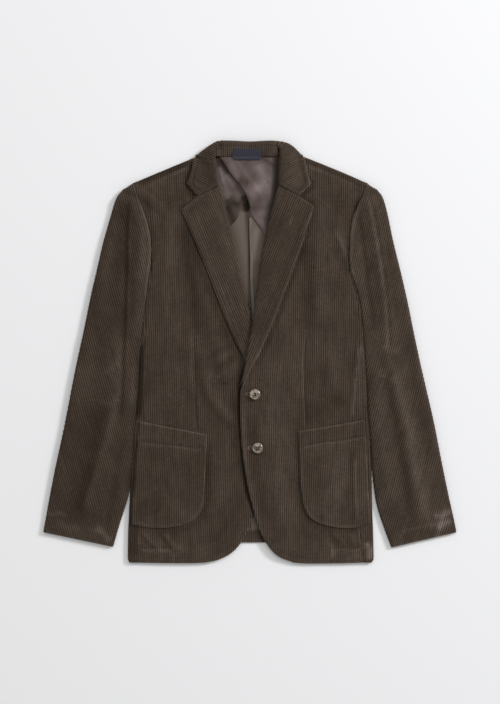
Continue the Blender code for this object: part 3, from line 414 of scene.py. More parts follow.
# Strokes of painted shade, painted light and wear on the cloth: dark ones for shadows beside raised edges and
# shade in the valleys of folds, light ones for lit flanks of folds, the satin's highlights and rubbed edges.
# Each is a half width, how much lighter or darker, and line. Strokes that overlap add up.
PAINTED_SHADE_AND_WEAR = {
    "front_right": (
        (3.1, -2, ((-7.5, -16.5), (-15.5, -46), (-20, -85), (-18.5, -135), (-15, -181.5), (-10, -232),
            (-5.5, -259), (1, -278), (8, -302.5), (13, -316.5))),
        (6.7, -0.35, ((-26, -37), (-28, -85), (-26, -135), (-22, -181.5), (-16.5, -231))),
        (4.6, -0.24, ((-190.5, 292.5), (-187, 268), (-183, 248), (-180.5, 222), (-177.5, 196))),
        (13.9, -0.3, ((-122, 240.5), (-116.5, 188.5), (-109, 133), (-102, 77.5), (-94.5, 26))),
        (9.2, 0.16, ((-144.5, 281), (-146, 207), (-151.5, 114.5), (-153.5, 40.5))),
        (8.3, 0.2, ((-87, 13), (-79.5, -33.5), (-68.5, -76), (-42.5, -111), (-22, -127.5))),
        (7.4, -0.26, ((-98, 3.5), (-94.5, -37), (-83, -81.5), (-57.5, -120), (-26, -148))),
        (4.1, -0.22, ((-77.5, -7.5), (-55.5, 3.5), (-33.5, 13))),
        (4.1, 0.2, ((-74, -18.5), (-52, -9), (-29.5, 2))),
        (4.1, -0.2, ((-70.5, -33.5), (-48, -22), (-26, -9))),
        (4.1, 0.18, ((-63, -46), (-40.5, -35), (-20.5, -22))),
        (4.1, -0.18, ((-55.5, -63), (-35, -52), (-18.5, -39))),
        (2.6, -1.2, ((-126, 262), (-116, 239.5), (-104.5, 212), (-92, 180.5), (-82.5, 162), (-66, 117.5),
            (-45.5, 64), (-27, 19.5), (-10.5, -17.5))),
        (7.4, -0.26, ((-126, 255.5), (-113, 211), (-100, 177.5), (-89, 153.5), (-72, 109), (-52, 55.5),
            (-33.5, 13), (-15, -26))),
        (4.1, -0.3, ((-109, 355), (-118.5, 322), (-122, 307))),
        (2.6, -1.2, ((-105, 355), (-114.5, 322), (-117.5, 309), (-111, 299.5), (-100, 287))),
        (4.4, -0.4, ((-120, 305), (-111, 290.5), (-102, 279.5), (-116.5, 270), (-129.5, 262.5))),
        (5.6, -0.26, ((-216.5, -316.5), (-185, -329.5), (-129.5, -328.5), (-98, -314.5), (-83, -288.5),
            (-78.5, -255.5), (-76, -200), (-72, -157))),
        (4.1, 0.32, ((-200, -329.5), (-181.5, -348), (-161, -364.5))),
        (3.7, -0.34, ((-207, -331), (-188.5, -351.5), (-170, -368))),
        (4.1, 0.3, ((-161, -331), (-144.5, -349.5), (-126, -366.5))),
        (3.7, -0.32, ((-168.5, -333), (-153.5, -353.5), (-137, -370))),
        (1.9, 0.28, ((-194, -389), (-129.5, -389.5), (-83, -388.5), (-63, -385.5), (-44.5, -376.5),
            (-29.5, -363.5), (-18.5, -349.5))),
        (1.9, -0.35, ((-203.5, -361.5), (-146, -361.5), (-144.5, -388.5))),
        (2.8, 0.5, ((-142.5, -357), (-141.5, -388.5))),
        (11.1, -0.18, ((-83, -348), (-52, -329.5), (-26, -283), (-22, -218.5))),
        (1.9, -0.35, ((-103.5, 35), (-101, -24), (-99, -89), (-96, -148))),
        (1.9, 0.35, ((-107.5, 35), (-104, -24), (-102, -89))),
        (14.8, 0.12, ((-65, -218.5), (-52, -274), (-65, -329.5))),
        (5.6, -0.25, ((-201.5, -135), (-197, -107.5), (-192.5, -52), (-190.5, 3.5))),
        (2.6, 0.2, ((-105.5, 40.5), (-109, 33.5))),
        (18.5, 0.14, ((-203.5, -362.5), (-129.5, -364.5), (-65, -359))),
        (5.6, -0.9, ((-200.5, 22), (-201.5, -15), (-202.5, -52), (-203.5, -89), (-205.5, -127.5))),
        (2, 0.3, ((-192.5, 13), (-193.5, -33.5), (-195, -79.5), (-195.5, -122))),
        (2.4, 0.45, ((-203.5, -365.5), (-176, -366), (-146, -366.5))),
        (1.9, 0.3, ((-204.5, -327.5), (-206.5, -357), (-207, -385))),
        (2, -0.4, ((-107.5, 348), (-137, 335), (-170, 320), (-198, 308), (-209, 303.5))),
        (2, 0.5, ((-107.5, 342), (-137, 329.5), (-170, 314.5), (-198, 302.5))),
        (4.8, -0.6, ((-109, 355), (-170, 328.5), (-209, 312.5))),
    ),
    "front_left": (
        (6.5, -0.32, ((200, 281), (192.5, 251.5), (187, 222), (185, 188.5), (181.5, 155.5))),
        (3.1, 0.4, ((158, 224), (168.5, 201.5), (176.5, 177.5), (182.5, 155.5))),
        (3.7, -0.5, ((201.5, 288.5), (197, 270), (193, 251.5), (188.5, 233))),
        (13, -0.26, ((100, 207), (105.5, 151.5), (107.5, 96), (103.5, 37))),
        (9.2, 0.18, ((133, 290.5), (137, 207), (137, 114.5), (133, 40.5))),
        (9.2, 0.14, ((79.5, 50), (89, -15), (92.5, -89))),
        (1.9, -0.26, ((104.5, 35), (101.5, -15), (102, -61), (104.5, -139))),
        (2, 0.46, ((101, 35), (97.5, -15), (98, -61), (101, -139))),
        (18.5, -0.26, ((92.5, -122), (133, -103.5), (177.5, -85))),
        (11.1, 0.16, ((148, 22), (155.5, -24), (159, -61))),
        (4.1, -0.42, ((103.5, 325.5), (116.5, 307), (105.5, 296), (94.5, 287), (109, 279.5), (124, 268))),
        (4.4, -0.34, ((124, 266.5), (113, 237), (102, 200), (87, 159), (70.5, 114.5), (55.5, 70.5), (37, 26),
            (18.5, -15), (0, -48))),
        (9.2, -0.22, ((3.5, -107.5), (7.5, -163), (15, -237), (24, -311))),
        (5.6, -0.24, ((87, -151.5), (89, -200), (93.5, -270), (107.5, -307), (133, -323), (176, -329.5),
            (214.5, -324))),
        (4.4, 0.22, ((153.5, -327.5), (163, -340.5), (176, -349.5))),
        (4.4, -0.22, ((146, -327.5), (155.5, -344), (168.5, -355))),
        (4.4, 0.2, ((140.5, -342), (150, -362.5), (155.5, -385))),
        (4.4, 0.2, ((188.5, -333), (196, -357), (198, -381))),
        (1.9, 0.28, ((33.5, -357), (48, -373), (66.5, -383), (92.5, -388.5), (148, -389.5), (207, -388.5))),
        (1.9, -0.35, ((207, -361.5), (150, -361.5), (148, -388.5))),
        (1.9, 0.2, ((145.5, -362.5), (144.5, -388.5))),
        (3.3, 0.2, ((-13, -85), (-10, -135), (-5.5, -185), (2, -237), (15, -296), (26, -327.5))),
        (1.9, 0.28, ((-16.5, -89), (-14, -127.5), (-10, -179.5), (-3.5, -237), (10, -299.5), (25, -338.5),
            (35, -353.5))),
        (5.6, -0.2, ((196, -135), (192.5, -89), (198, -33.5), (200, 13))),
        (29.6, 0.14, ((33.5, 3.5), (44.5, -181.5), (65, -329.5))),
        (18.5, 0.1, ((65, -362.5), (129.5, -364.5), (203.5, -361))),
        (3.3, 0.75, ((203, 18.5), (198, -24), (194, -61), (188, -126))),
        (2.4, 0.42, ((200.5, -325.5), (204.5, -348), (209, -361))),
        (6.3, 0.9, ((214.5, -349.5), (222, -368), (220, -383))),
        (11.1, 0.25, ((176, -377.5), (218.5, -375.5))),
        (4.8, 0.35, ((150, -353.5), (152.5, -368), (151.5, -383))),
        (2.2, 0.3, ((153.5, -366), (181.5, -365.5), (207, -364.5))),
        (2, -0.4, ((105.5, 348), (135, 335), (166.5, 322), (192.5, 311), (211, 302.5))),
        (2, 0.6, ((103.5, 345), (135, 331.5), (166.5, 318), (196, 305))),
        (5.6, -0.2, ((109, 354.5), (166.5, 328.5), (207, 311))),
    ),
    "side_panel_left": (
        (3.3, 0.5, ((203, 18.5), (198, -24), (194, -61), (188, -126))),
        (2.4, 0.3, ((200.5, -325.5), (204.5, -348), (209, -361))),
        (6.3, 1, ((214.5, -349.5), (222, -368), (220, -383))),
        (6.5, 0.25, ((205.5, 22), (201.5, -52), (203.5, -122))),
        (7.4, 0.15, ((211, -311), (216.5, -385))),
    ),
    "side_panel_right": (
        (55.5, -0.45, ((-216.5, -163), (-220, -274), (-225.5, -385))),
        (55.5, -0.2, ((-200, 3.5), (-203.5, -89))),
        (5.9, -1, ((-200.5, 22), (-201.5, -15), (-202.5, -52), (-203.5, -89), (-205.5, -127.5))),
    ),
    "pocket_right": (
        (4.4, -0.6, ((-209, -155.5), (-211, -190.5), (-213.5, -237), (-218.5, -274))),
        (48.1, -0.07, ((-185, -163), (-92.5, -311))),
        (9.2, 0.18, ((-176, -240.5), (-144.5, -274), (-111, -312.5))),
        (25.9, -0.2, ((-203.5, -274), (-188.5, -307))),
        (18.5, -0.1, ((-100, -181.5), (-98, -255.5))),
        (2, 0.3, ((-205.5, -129.5), (-157, -137), (-79.5, -153.5))),
        (1.9, -0.3, ((-203.5, -164.5), (-148, -170), (-79.5, -179.5))),
        (1.9, 0.35, ((-203.5, -169.5), (-148, -174), (-79.5, -183))),
        (2, 0.23, ((-79.5, -157), (-82.5, -218.5), (-86, -264.5), (-91.5, -287), (-105.5, -305),
            (-129.5, -320), (-185, -322))),
    ),
    "pocket_left": (
        (55.5, 0.12, ((111, -163), (185, -311))),
        (2, 0.25, ((90.5, -148), (148, -138), (214.5, -126.5))),
        (1.9, -0.3, ((92.5, -174), (129.5, -165.5), (166.5, -161.5), (214.5, -154.5))),
        (1.9, 0.35, ((92.5, -178.5), (129.5, -170), (166.5, -166), (214.5, -158))),
        (2, 0.23, ((90.5, -150), (93, -190.5), (97.5, -268), (110.5, -301.5), (133, -316), (176, -322),
            (211, -317))),
        (18.5, -0.14, ((114.5, -190.5), (122, -255.5))),
        (13, 0.16, ((157, -181.5), (163, -237), (166.5, -292.5))),
        (9.2, -0.16, ((188.5, -181.5), (192.5, -255.5), (198, -311))),
        (7.4, 0.2, ((211, -181.5), (216.5, -255.5), (218.5, -301.5))),
        (3.3, 0.6, ((195, -192.5), (193.5, -227.5), (195.5, -264.5), (199, -312.5))),
    ),
    "lapel_right": (
        (48.1, 0.18, ((-92.5, 272), (-65, 188.5), (-18.5, 22))),
        (2.2, 0.3, ((-96, 284), (-122, 263.5))),
        (1.9, -0.42, ((-124, 262.5), (-114, 240.5), (-102.5, 213), (-89.5, 181.5), (-80.5, 163),
            (-64, 118.5), (-43.5, 65), (-25, 20.5), (-8.5, -16.5))),
        (1.5, 0.26, ((-114, 260), (-110, 251.5), (-102, 231), (-89.5, 203.5), (-77, 174), (-67.5, 155.5),
            (-51, 111), (-30.5, 57.5), (-15.5, 18.5))),
        (1.7, -0.25, ((-90.5, 275.5), (-114.5, 256), (-105.5, 237), (-94.5, 211), (-81.5, 181.5), (-72, 163),
            (-55.5, 118.5), (-35, 65), (-18.5, 22))),
        (4.6, 0.2, ((-65, 299.5), (-52, 235), (-37, 179.5), (-22, 114.5))),
        (11.1, -0.14, ((-83, 253.5), (-65, 188.5), (-44.5, 118.5))),
        (4.6, -0.22, ((-7.5, 96), (0, 40.5), (3.5, 13))),
    ),
    "lapel_left": (
        (48.1, -0.16, ((92.5, 272), (65, 188.5), (18.5, 22))),
        (1.7, 0.34, ((89.5, 284), (115.5, 268), (106.5, 240.5), (95.5, 203.5), (80.5, 163), (64, 120),
            (48, 74), (30.5, 29.5), (12, -9), (-6.5, -42.5))),
        (1.9, -0.12, ((87, 275.5), (105.5, 263.5), (98, 240.5), (86, 203.5), (71, 163), (54.5, 120),
            (39, 74), (21.5, 29.5), (3.5, -9))),
        (11.1, 0.1, ((85, 262.5), (66.5, 188.5), (46, 114.5))),
        (1.9, 0.5, ((80.5, 248.5), (76.5, 246.5), (75.5, 239.5), (71.5, 232))),
        (1.9, 0.3, ((80.5, 237.5), (81, 231))),
        (9.2, -0.12, ((46, 253.5), (33.5, 188.5), (20.5, 114.5))),
    ),
    "collar": (
        (2.4, 0.05, ((-103.5, 357), (-112, 322), (-114.5, 311), (-110, 302.5), (-97, 288.5))),
        (2.4, 0.28, ((99, 357), (105.5, 333), (111, 310), (106.5, 302.5), (96, 295), (90.5, 288.5))),
        (14.8, -0.22, ((-70.5, 373.5), (-70.5, 336.5), (-66.5, 307))),
        (11.1, 0.18, ((77.5, 373.5), (85, 336.5), (92.5, 303.5))),
        (1.9, -0.3, ((-97, 348), (-103.5, 322), (-104.5, 311), (-92.5, 298), (-65, 311))),
        (1.9, -0.3, ((93.5, 349.5), (99, 324), (101, 311), (89, 298), (63, 310))),
    ),
    "sleeve_top_right": (
        (48.1, -0.16, ((-225.5, 281), (-255.5, 114.5), (-277.5, -33.5))),
        (55.5, -0.3, ((-287, -89), (-305, -181.5), (-324, -329.5))),
        (6.3, 0.65, ((-287, -324), (-272, -333), (-257, -349.5))),
        (3.3, 0.5, ((-375.5, -296), (-362.5, -299.5), (-349.5, -297), (-335, -303.5))),
        (4.1, -0.62, ((-220, 288.5), (-225, 253.5), (-227, 207), (-227.5, 151.5), (-229, 96), (-231, 31.5),
            (-234, -52), (-237.5, -135))),
        (11.1, -0.22, ((-227.5, 281), (-237, 235), (-240.5, 166.5), (-242.5, 96), (-246, 31.5))),
        (10.2, 0.3, ((-209, 281), (-203.5, 244), (-198, 203.5), (-200, 166.5), (-207, 124))),
        (3, 0.3, ((-220, 259), (-221, 207), (-222, 151.5), (-223, 96), (-225.5, 31.5), (-228.5, -52))),
        (2.8, 0.6, ((-205.5, 290.5), (-198, 262.5), (-191.5, 240.5), (-187, 220), (-184.5, 196),
            (-184.5, 177.5), (-187.5, 151.5), (-191.5, 105.5), (-195, 55.5))),
        (9.2, 0.24, ((-242.5, 40.5), (-238.5, -53.5), (-250, -98), (-261, -150), (-274, -194),
            (-288.5, -242.5), (-303.5, -299.5))),
        (7.4, -0.24, ((-255.5, -52), (-267.5, -103.5), (-279.5, -153.5), (-291.5, -200), (-307, -248),
            (-323, -303.5))),
        (2.8, -0.3, ((-246, -57.5), (-258.5, -102), (-270, -151.5), (-282.5, -196), (-298.5, -244),
            (-314.5, -299.5))),
        (7.4, 0.3, ((-214.5, -24), (-217.5, -61), (-220, -107.5))),
        (5.6, -0.75, ((-203.5, 13), (-205.5, -52), (-209, -126), (-214.5, -200), (-223, -264.5))),
        (7.4, -0.2, ((-229.5, -144.5), (-244, -218.5), (-257, -292.5), (-264.5, -348))),
        (13, -0.14, ((-259, 253.5), (-272, 188.5), (-287, 114.5), (-299.5, 40.5), (-311, -33.5))),
        (11.1, 0.14, ((-244, 253.5), (-255.5, 198), (-266.5, 133))),
        (2.2, 0.25, ((-379, -331), (-351.5, -338.5), (-325.5, -346), (-299.5, -348.5), (-285, -355),
            (-255.5, -359))),
        (4.1, 0.24, ((-240.5, -15), (-253.5, -29.5), (-268, -37))),
        (4.1, -0.22, ((-238.5, -26), (-251.5, -40.5), (-266.5, -48))),
        (4.1, 0.2, ((-237, -81.5), (-255.5, -92.5), (-275.5, -96))),
        (4.1, -0.2, ((-238.5, -94.5), (-255.5, -105.5), (-275.5, -109))),
        (5.6, 0.26, ((-359, -311), (-336.5, -322), (-314.5, -325.5))),
        (5.6, 0.3, ((-222, 303.5), (-207, 301.5), (-201.5, 285))),
    ),
    "sleeve_top_left": (
        (55.5, 0.17, ((218.5, 288.5), (259, 114.5), (287, -52), (314.5, -200), (333, -329.5))),
        (8.3, 0.16, ((218.5, 288.5), (229.5, 244), (238.5, 181.5), (248, 114.5), (253.5, 40.5),
            (250, -18.5))),
        (2.4, 0.38, ((216, 292.5), (223, 259), (229, 229.5), (234.5, 198), (242, 151.5), (248, 105.5))),
        (2.4, 0.26, ((248, 105.5), (251.5, 68.5), (253.5, 31.5), (254.5, 0))),
        (3.7, -0.46, ((222, 288.5), (230.5, 255.5), (237, 222), (242.5, 188.5), (250, 140.5), (255.5, 92.5),
            (258.5, 31.5), (259, -11))),
        (4.8, -0.5, ((200.5, 264.5), (206.5, 225.5), (212, 179.5), (219, 124), (226.5, 74), (231, 31.5))),
        (7.4, -0.28, ((242.5, 259), (251.5, 198), (261, 133), (268, 68.5))),
        (2.8, 0.4, ((205.5, 272), (196, 251.5), (189.5, 225.5), (187, 192.5), (188, 159), (194, 118.5),
            (202.5, 85))),
        (9.2, 0.26, ((261, -11), (272, -61), (285, -111), (296, -172), (301.5, -218.5), (316.5, -274),
            (335, -329.5))),
        (8.3, -0.32, ((250, -37), (261, -85), (272, -135), (281, -190.5), (287, -237), (298, -292.5),
            (311, -338.5))),
        (7.4, 0.2, ((233, -61), (238.5, -126), (248, -200), (261, -274))),
        (5.6, -0.34, ((217.5, -15), (217.5, -89), (222, -163), (227.5, -227.5), (237, -283))),
        (11.1, 0.16, ((277.5, 188.5), (296, 96), (314.5, 3.5), (333, -89))),
        (9.2, -0.18, ((288.5, 22), (305, -61), (324, -144.5), (340.5, -218.5))),
        (2.2, 0.25, ((379, -331), (364.5, -336.5), (322, -346), (288.5, -355), (264.5, -359))),
        (4.1, 0.26, ((244, 13), (259, 3.5), (274, 0))),
        (4.1, -0.24, ((246, 0), (261, -9), (277.5, -13))),
        (4.1, 0.2, ((235, -35), (251.5, -46), (270, -52))),
        (4.1, -0.2, ((237, -48), (253.5, -59), (272, -65))),
        (5.6, 0.32, ((373.5, -311), (351.5, -318), (329.5, -324))),
        (4.4, 0.3, ((346, -344), (353.5, -311), (362.5, -283))),
        (7.4, 0.8, ((338.5, -303.5), (355, -301.5), (372, -292.5))),
        (6.3, 0.6, ((346, -327.5), (372, -309))),
        (2.8, 0.3, ((275.5, -333), (305, -325.5), (336.5, -318), (362.5, -312.5))),
    ),
    "lining_right": (
        (7.4, 0.26, ((-48, 325.5), (-37, 316.5), (-26, 307))),
        (4.8, -0.3, ((-52, 312.5), (-39, 303.5), (-28, 296))),
        (5.6, 0.25, ((-57.5, 344), (-52, 322), (-44.5, 299.5))),
        (11.1, -0.75, ((-40.5, 285), (-28, 275.5), (-15, 270))),
        (10.2, -1.1, ((-44.5, 272), (-35, 257), (-28, 233))),
        (4.4, -0.6, ((-48, 279.5), (-33.5, 275.5), (-18.5, 272))),
        (4.8, -1, ((-57.5, 359), (-46, 340.5), (-35, 325.5), (-22, 307), (-7.5, 283))),
        (6.3, -1.1, ((-57.5, 364.5), (-50, 351.5), (-37, 329.5))),
        (4.1, -0.8, ((-61, 370), (-60, 355), (-57.5, 340.5))),
        (7.4, 0.2, ((-48, 299.5), (-33.5, 288.5), (-18.5, 283))),
        (5.9, -3, ((-11, 290.5), (-7.5, 277.5), (-5.5, 255.5))),
    ),
    "lining_left": (
        (7.4, -0.34, ((2, 262.5), (13, 275.5), (24, 288.5))),
        (5.6, -0.6, ((-61, 361), (-52, 349.5), (-42.5, 335))),
        (14.8, 0.16, ((-9, 346), (15, 333), (33.5, 322))),
        (7.4, 0.25, ((-37, 349.5), (-29.5, 336.5), (-22, 322))),
        (3, -1.2, ((-57.5, 361), (-44.5, 338.5), (-31.5, 320), (-18.5, 303.5), (-7.5, 287), (0, 266.5))),
        (8.3, -0.62, ((-22, 318), (-11, 312.5), (-2, 311))),
        (10.2, 0.42, ((-2, 287), (9, 296), (22, 305), (33.5, 314.5))),
        (5.6, -0.12, ((-3.5, 266.5), (7.5, 259), (18.5, 262.5))),
        (7.4, 0.32, ((15, 251.5), (24, 259), (33.5, 255.5))),
        (9.2, 0.2, ((3.5, 311), (22, 299.5), (33.5, 288.5))),
        (9.2, 0.3, ((15, 348), (22, 329.5), (33.5, 314.5))),
        (7.4, -0.25, ((-7.5, 355), (0, 336.5), (11, 322))),
        (6.5, -0.25, ((29.5, 296), (35, 272), (31.5, 240.5))),
        (5.9, -1.7, ((52, 373.5), (50, 327.5), (45.5, 281), (38, 240.5), (32.5, 218.5))),
        (4.6, 0.2, ((40, 364.5), (40, 318), (34, 272))),
        (3.7, -0.5, ((22, 359), (37, 349.5), (48, 340.5))),
        (4.1, 0.3, ((13, 244), (20.5, 237), (29.5, 225.5))),
    ),
    "hem_turned_up": (
        (3, -1.3, ((7.5, -299.5), (17.5, -327), (25.5, -346), (31.5, -359))),
        (1.9, 0.35, ((-26, -328.5), (3.5, -329), (37, -328.5))),
        (3.7, 0.2, ((-26, -349.5), (3.5, -349.5), (37, -349.5))),
    ),
    "inside": (
        (3.3, -1.2, ((3.5, -288.5), (11.5, -308.5), (19.5, -329.5), (28, -349.5))),
        (11.1, -0.3, ((-40.5, 253.5), (-22, 170), (-7.5, 96), (2, 40.5))),
        (11.1, -0.35, ((33.5, 235), (22, 161), (13, 96), (3.5, 40.5))),
        (3.3, -1.7, ((-4.5, 272), (-2.5, 225.5), (-1, 185), (1, 124), (3.5, 55.5))),
        (2.6, -0.7, ((3.5, 255.5), (15, 240.5), (31.5, 218.5))),
        (2.6, 0.4, ((1, 253.5), (2.5, 185), (4.5, 124))),
        (8.3, -2.8, ((-11, 281), (-5.5, 272), (-3.5, 259))),
        (11.1, 0.2, ((11, 229.5), (13, 198), (11, 166.5))),
        (14.8, -0.3, ((-18.5, -348), (9, -349.5), (33.5, -353.5))),
    ),
    "collar_stand": (
        (14.8, 0.28, ((-70.5, 372), (0, 372), (63, 372))),
    ),
    "centre_back_binding": (
        (14.8, 0.05, ((1, 272), (4.5, 124), (5.5, 40.5))),
    ),
}


def along_of(points):
    """How far along a polyline each of its points is."""
    return np.concatenate([[0], np.cumsum(np.linalg.norm(np.diff(points, axis=0), axis=1))])


def sampled(places, along, values):
    """Values given along a line, read at other places along it."""
    return np.stack([np.interp(places, along, axis) for axis in values.T], axis=1)


def evenly(points, count):
    """Points spaced evenly along a polyline."""
    points = np.asarray(points, float)
    along = along_of(points)
    return sampled(np.linspace(0, along[-1], count), along, points)


def smooth(table, places):
    """The rows of a table read at places between them, on a smooth curve through them all."""
    table = np.array(table, float)
    padded = np.vstack([2 * table[0] - table[1], table, 2 * table[-1] - table[-2]])
    i = np.minimum(places.astype(int), len(table) - 2)
    t = (places - i)[:, None]
    before, start, end, after = (padded[i + step] for step in range(4))
    bend = 2 * before - 5 * start + 4 * end - after
    cubic = 3 * (start - end) + after - before
    return 0.5 * (2 * start + (end - before) * t + bend * t**2 + cubic * t**3)


def between(table, rows):
    """A table of rows, smoothed to the given number of rows."""
    return smooth(table, np.linspace(0, len(table) - 1, rows))


def spline(points, count):
    """Points spaced evenly along a smooth curve through the given ones."""
    pieces = 12  # of each stretch between two given points
    return evenly(smooth(points, np.arange((len(points) - 1) * pieces + 1) / pieces), count)


def patch(top, bottom, inner, outer):
    """A grid that fills four edges: rows run from inner to outer, from the top edge to the bottom."""
    u = np.linspace(0, 1, len(top))[None, :, None]
    v = np.linspace(0, 1, len(inner))[:, None, None]
    ruled = (1 - v) * top[None] + v * bottom[None] + (1 - u) * inner[:, None] + u * outer[:, None]
    corners = (1 - v) * ((1 - u) * top[0] + u * top[-1]) + v * ((1 - u) * bottom[0] + u * bottom[-1])
    return ruled - corners


def rows_between(start, end, count):
    """A grid whose rows run straight from one line's points to another's."""
    share = np.linspace(0, 1, count)[None, :, None]
    return start[:, None] * (1 - share) + end[:, None] * share


def ease(value):
    """A soft step from 0 to 1."""
    value = np.clip(value, 0, 1)
    return value * value * (3 - 2 * value)


def bell(away, width):
    """A soft hump of height 1 over a line, by how far away a place is."""
    return np.exp(-((away / width) ** 2))


def raised(plan, height):
    """A plan with its height as the third coordinate."""
    height = np.broadcast_to(height, plan.shape[:-1])
    return np.concatenate([plan, height[..., None]], axis=-1)


def square_to(line):
    """The direction to the left of a line in the plan, at each of its points."""
    way = np.gradient(line, axis=0)
    return np.stack([-way[:, 1], way[:, 0]], axis=1) / np.linalg.norm(way, axis=1, keepdims=True)


def turns(top, outward, start, end, steps):
    """Half rounds from one level to another that bulge outward, one for each point of a row."""
    start, end = np.broadcast_to(start, len(top)), np.broadcast_to(end, len(top))
    radius = (np.abs(end - start) / 2)[:, None]
    middle = ((start + end) / 2)[:, None]
    angle = np.linspace(0, np.pi, steps)[None]
    plan = top[:, None] + (radius * np.sin(angle))[..., None] * outward[:, None]
    return raised(plan, middle + (start[:, None] - middle) * np.cos(angle))


def bowed(place):
    """Share of a roll's height along its line: full in the middle and about half at its ends."""
    return 0.45 + 0.55 * np.sin(np.pi * place)


def pinched(place):
    """The same for a crease, which runs out at its ends."""
    return np.sin(np.pi * place) ** 0.7


def brushed(place):
    """And for a stroke of shade, which is even almost to its ends."""
    return ease(np.minimum(place, 1 - place) * 7 + 0.15)


def folds(table, piece, x, y, taper=bowed):
    """What the folds of one table add at a place."""
    total = np.zeros(np.broadcast(x, y).shape)
    for width, height, points in table.get(piece, ()):
        line = spline(points, 4 * len(points) + 5)
        low, high = line.min(axis=0) - 3 * width, line.max(axis=0) + 3 * width
        inside = (x > low[0]) & (x < high[0]) & (y > low[1]) & (y < high[1])
        px, py = x[inside], y[inside]
        near, place = np.full(px.shape, np.inf), np.zeros(px.shape)
        share = np.linspace(0, 1, len(line))
        for (ax, ay), (bx, by), first, last in zip(line, line[1:], share, share[1:]):
            length2 = (bx - ax) ** 2 + (by - ay) ** 2
            t = np.clip(((px - ax) * (bx - ax) + (py - ay) * (by - ay)) / length2, 0, 1)
            away = np.hypot(px - ax - t * (bx - ax), py - ay - t * (by - ay))
            place = np.where(away < near, first + t * (last - first), place)
            near = np.minimum(near, away)
        total[inside] += height * taper(np.clip(place, 0, 1)) * bell(near, width)
    return total


def painted_shade_and_wear(piece, spot):
    """How much lighter or darker the cloth is painted at each place, from the strokes of painted shade,
    painted light and wear.
    """
    return np.exp(folds(PAINTED_SHADE_AND_WEAR, piece, spot[:, 0], spot[:, 1], brushed))


def rolling(x, y, size, seed):
    """A smooth uneven field, mostly from -1 to 1, made of a few waves, the same at each run."""
    waves = np.random.default_rng(seed)
    total = np.zeros(np.broadcast(x, y).shape)
    for _ in range(7):
        angle, phase = waves.uniform(0, 2 * np.pi, 2)
        length = size * waves.uniform(0.6, 1.7)
        total += np.sin((x * np.cos(angle) + y * np.sin(angle)) * 2 * np.pi / length + phase)
    return total / 4.0


# Seeds of each surface's own unevenness.
SEEDS = {"body": 4, "sleeve_right": 12, "sleeve_left": 11}


def lift(piece, x, y):
    """Height of the soft rolls and creases, and the slight unevenness that all laid cloth has."""
    x, y = np.broadcast_arrays(np.asarray(x, float), np.asarray(y, float))
    uneven = 0.35 * rolling(x, y, 70, SEEDS[piece]) + 0.15 * rolling(x, y, 26, SEEDS[piece] + 9)
    return folds(RIDGES, piece, x, y) + folds(CREASES, piece, x, y, pinched) + uneven


def body_height(x, y):
    """The middle of the fronts and of the side panels' tops."""
    return BODY_TOP + lift("body", x, y)


def front_left_height(x, y):
    """The buttoned-over front also climbs on the front below it, and on the feet of the lapels."""
    overlap_x, overlap_y, crossing_y = 84, 110, -110
    near_edge = ease((overlap_x - x) / 44)
    climb = OVERLAP_RISE * ease((overlap_y - y) / 60)
    crossing = CROSSING_RISE * ease((overlap_y - y) / 55) * ease((y - crossing_y) / 55)
    return body_height(x, y) + near_edge * (climb + crossing)


def stand_height(x, y):
    """The collar stand leans from the neck seam up to the fold of the collar, and stays inside its roll."""
    seam_y, depth, roll_x = 361, 19.5, -48
    leaning = STAND_FOOT + (COLLAR_TOP - 1.0 - STAND_FOOT) * np.clip((y - seam_y) / depth, 0, 1) ** 0.85
    into_roll = (COLLAR_TOP - 3.8 - leaning) * ease((roll_x - x) / 12)
    return leaning + np.maximum(into_roll, 0)


def label_height(x, y):
    """The neck label lies on the collar stand."""
    return stand_height(x, y) + 2.0


def lining_height(x, y):
    """The lining lies flat on the back."""
    return np.full(np.shape(x), LINING_LEVEL)


def lining_left_height(x, y):
    """The left half of the lining lies on the right half along its slanting edge."""
    edge_x = np.interp(-y, (-359.5, -328, -300, -268, -250, -235), (-57, -35, -13, 0, 5, 15))
    return LINING_LEVEL + (LINING + SEAM) * ease((34 - (x - edge_x)) / 10) * ease((y - 262) / 8)


def turned_up_height(x, y):
    """And so does the turned-up hem."""
    return np.full(np.shape(x), TURNED_UP_LEVEL)


def grain(plan, tilt):
    """Cord coordinate of places in the plan: cords that run down, tilted by an angle towards +X."""
    return (plan[..., 0] * math.cos(tilt) + plan[..., 1] * math.sin(tilt)) / WALE


def carried_on(phase, grid, first, last, side, stretch=1.0):
    """The cord coordinate, counted on by the length of the cloth in the columns before first and after last,
    where it turns under."""
    steps = np.linalg.norm(np.diff(grid, axis=1), axis=2) * stretch * side / WALE
    for j in range(last + 1, grid.shape[1]):
        phase[:, j] = phase[:, j - 1] + steps[:, j - 1]
    for j in range(first - 1, -1, -1):
        phase[:, j] = phase[:, j + 1] - steps[:, j]
    return phase


def wobble(grid):
    """Cords aren't dead straight: they follow the small pulls of the cloth."""
    x, y = grid[..., 0], grid[..., 1]
    return np.stack([1.3 * rolling(x, y, 150, 5) + 0.5 * rolling(x, y, 60, 6), 0 * x], axis=-1)


# Colours, dark and light, that a material's own pattern mixes.
CORDUROY = ((0.0215, 0.0155, 0.0100), (0.066, 0.048, 0.035))
SATIN = ((0.076, 0.056, 0.050), (0.122, 0.091, 0.083))
NAVY = ((0.022, 0.023, 0.034), (0.044, 0.045, 0.062))
PLAIN_BACK = ((0.100, 0.081, 0.066), (0.160, 0.133, 0.110))
HORN = ((0.050, 0.030, 0.016), (0.42, 0.36, 0.27))
SHADE_TINT_POWERS = (1.0, 1.08, 1.24)  # powers for red, green and blue of the tone: cloth painted lighter goes greyer, and painted shade goes browner
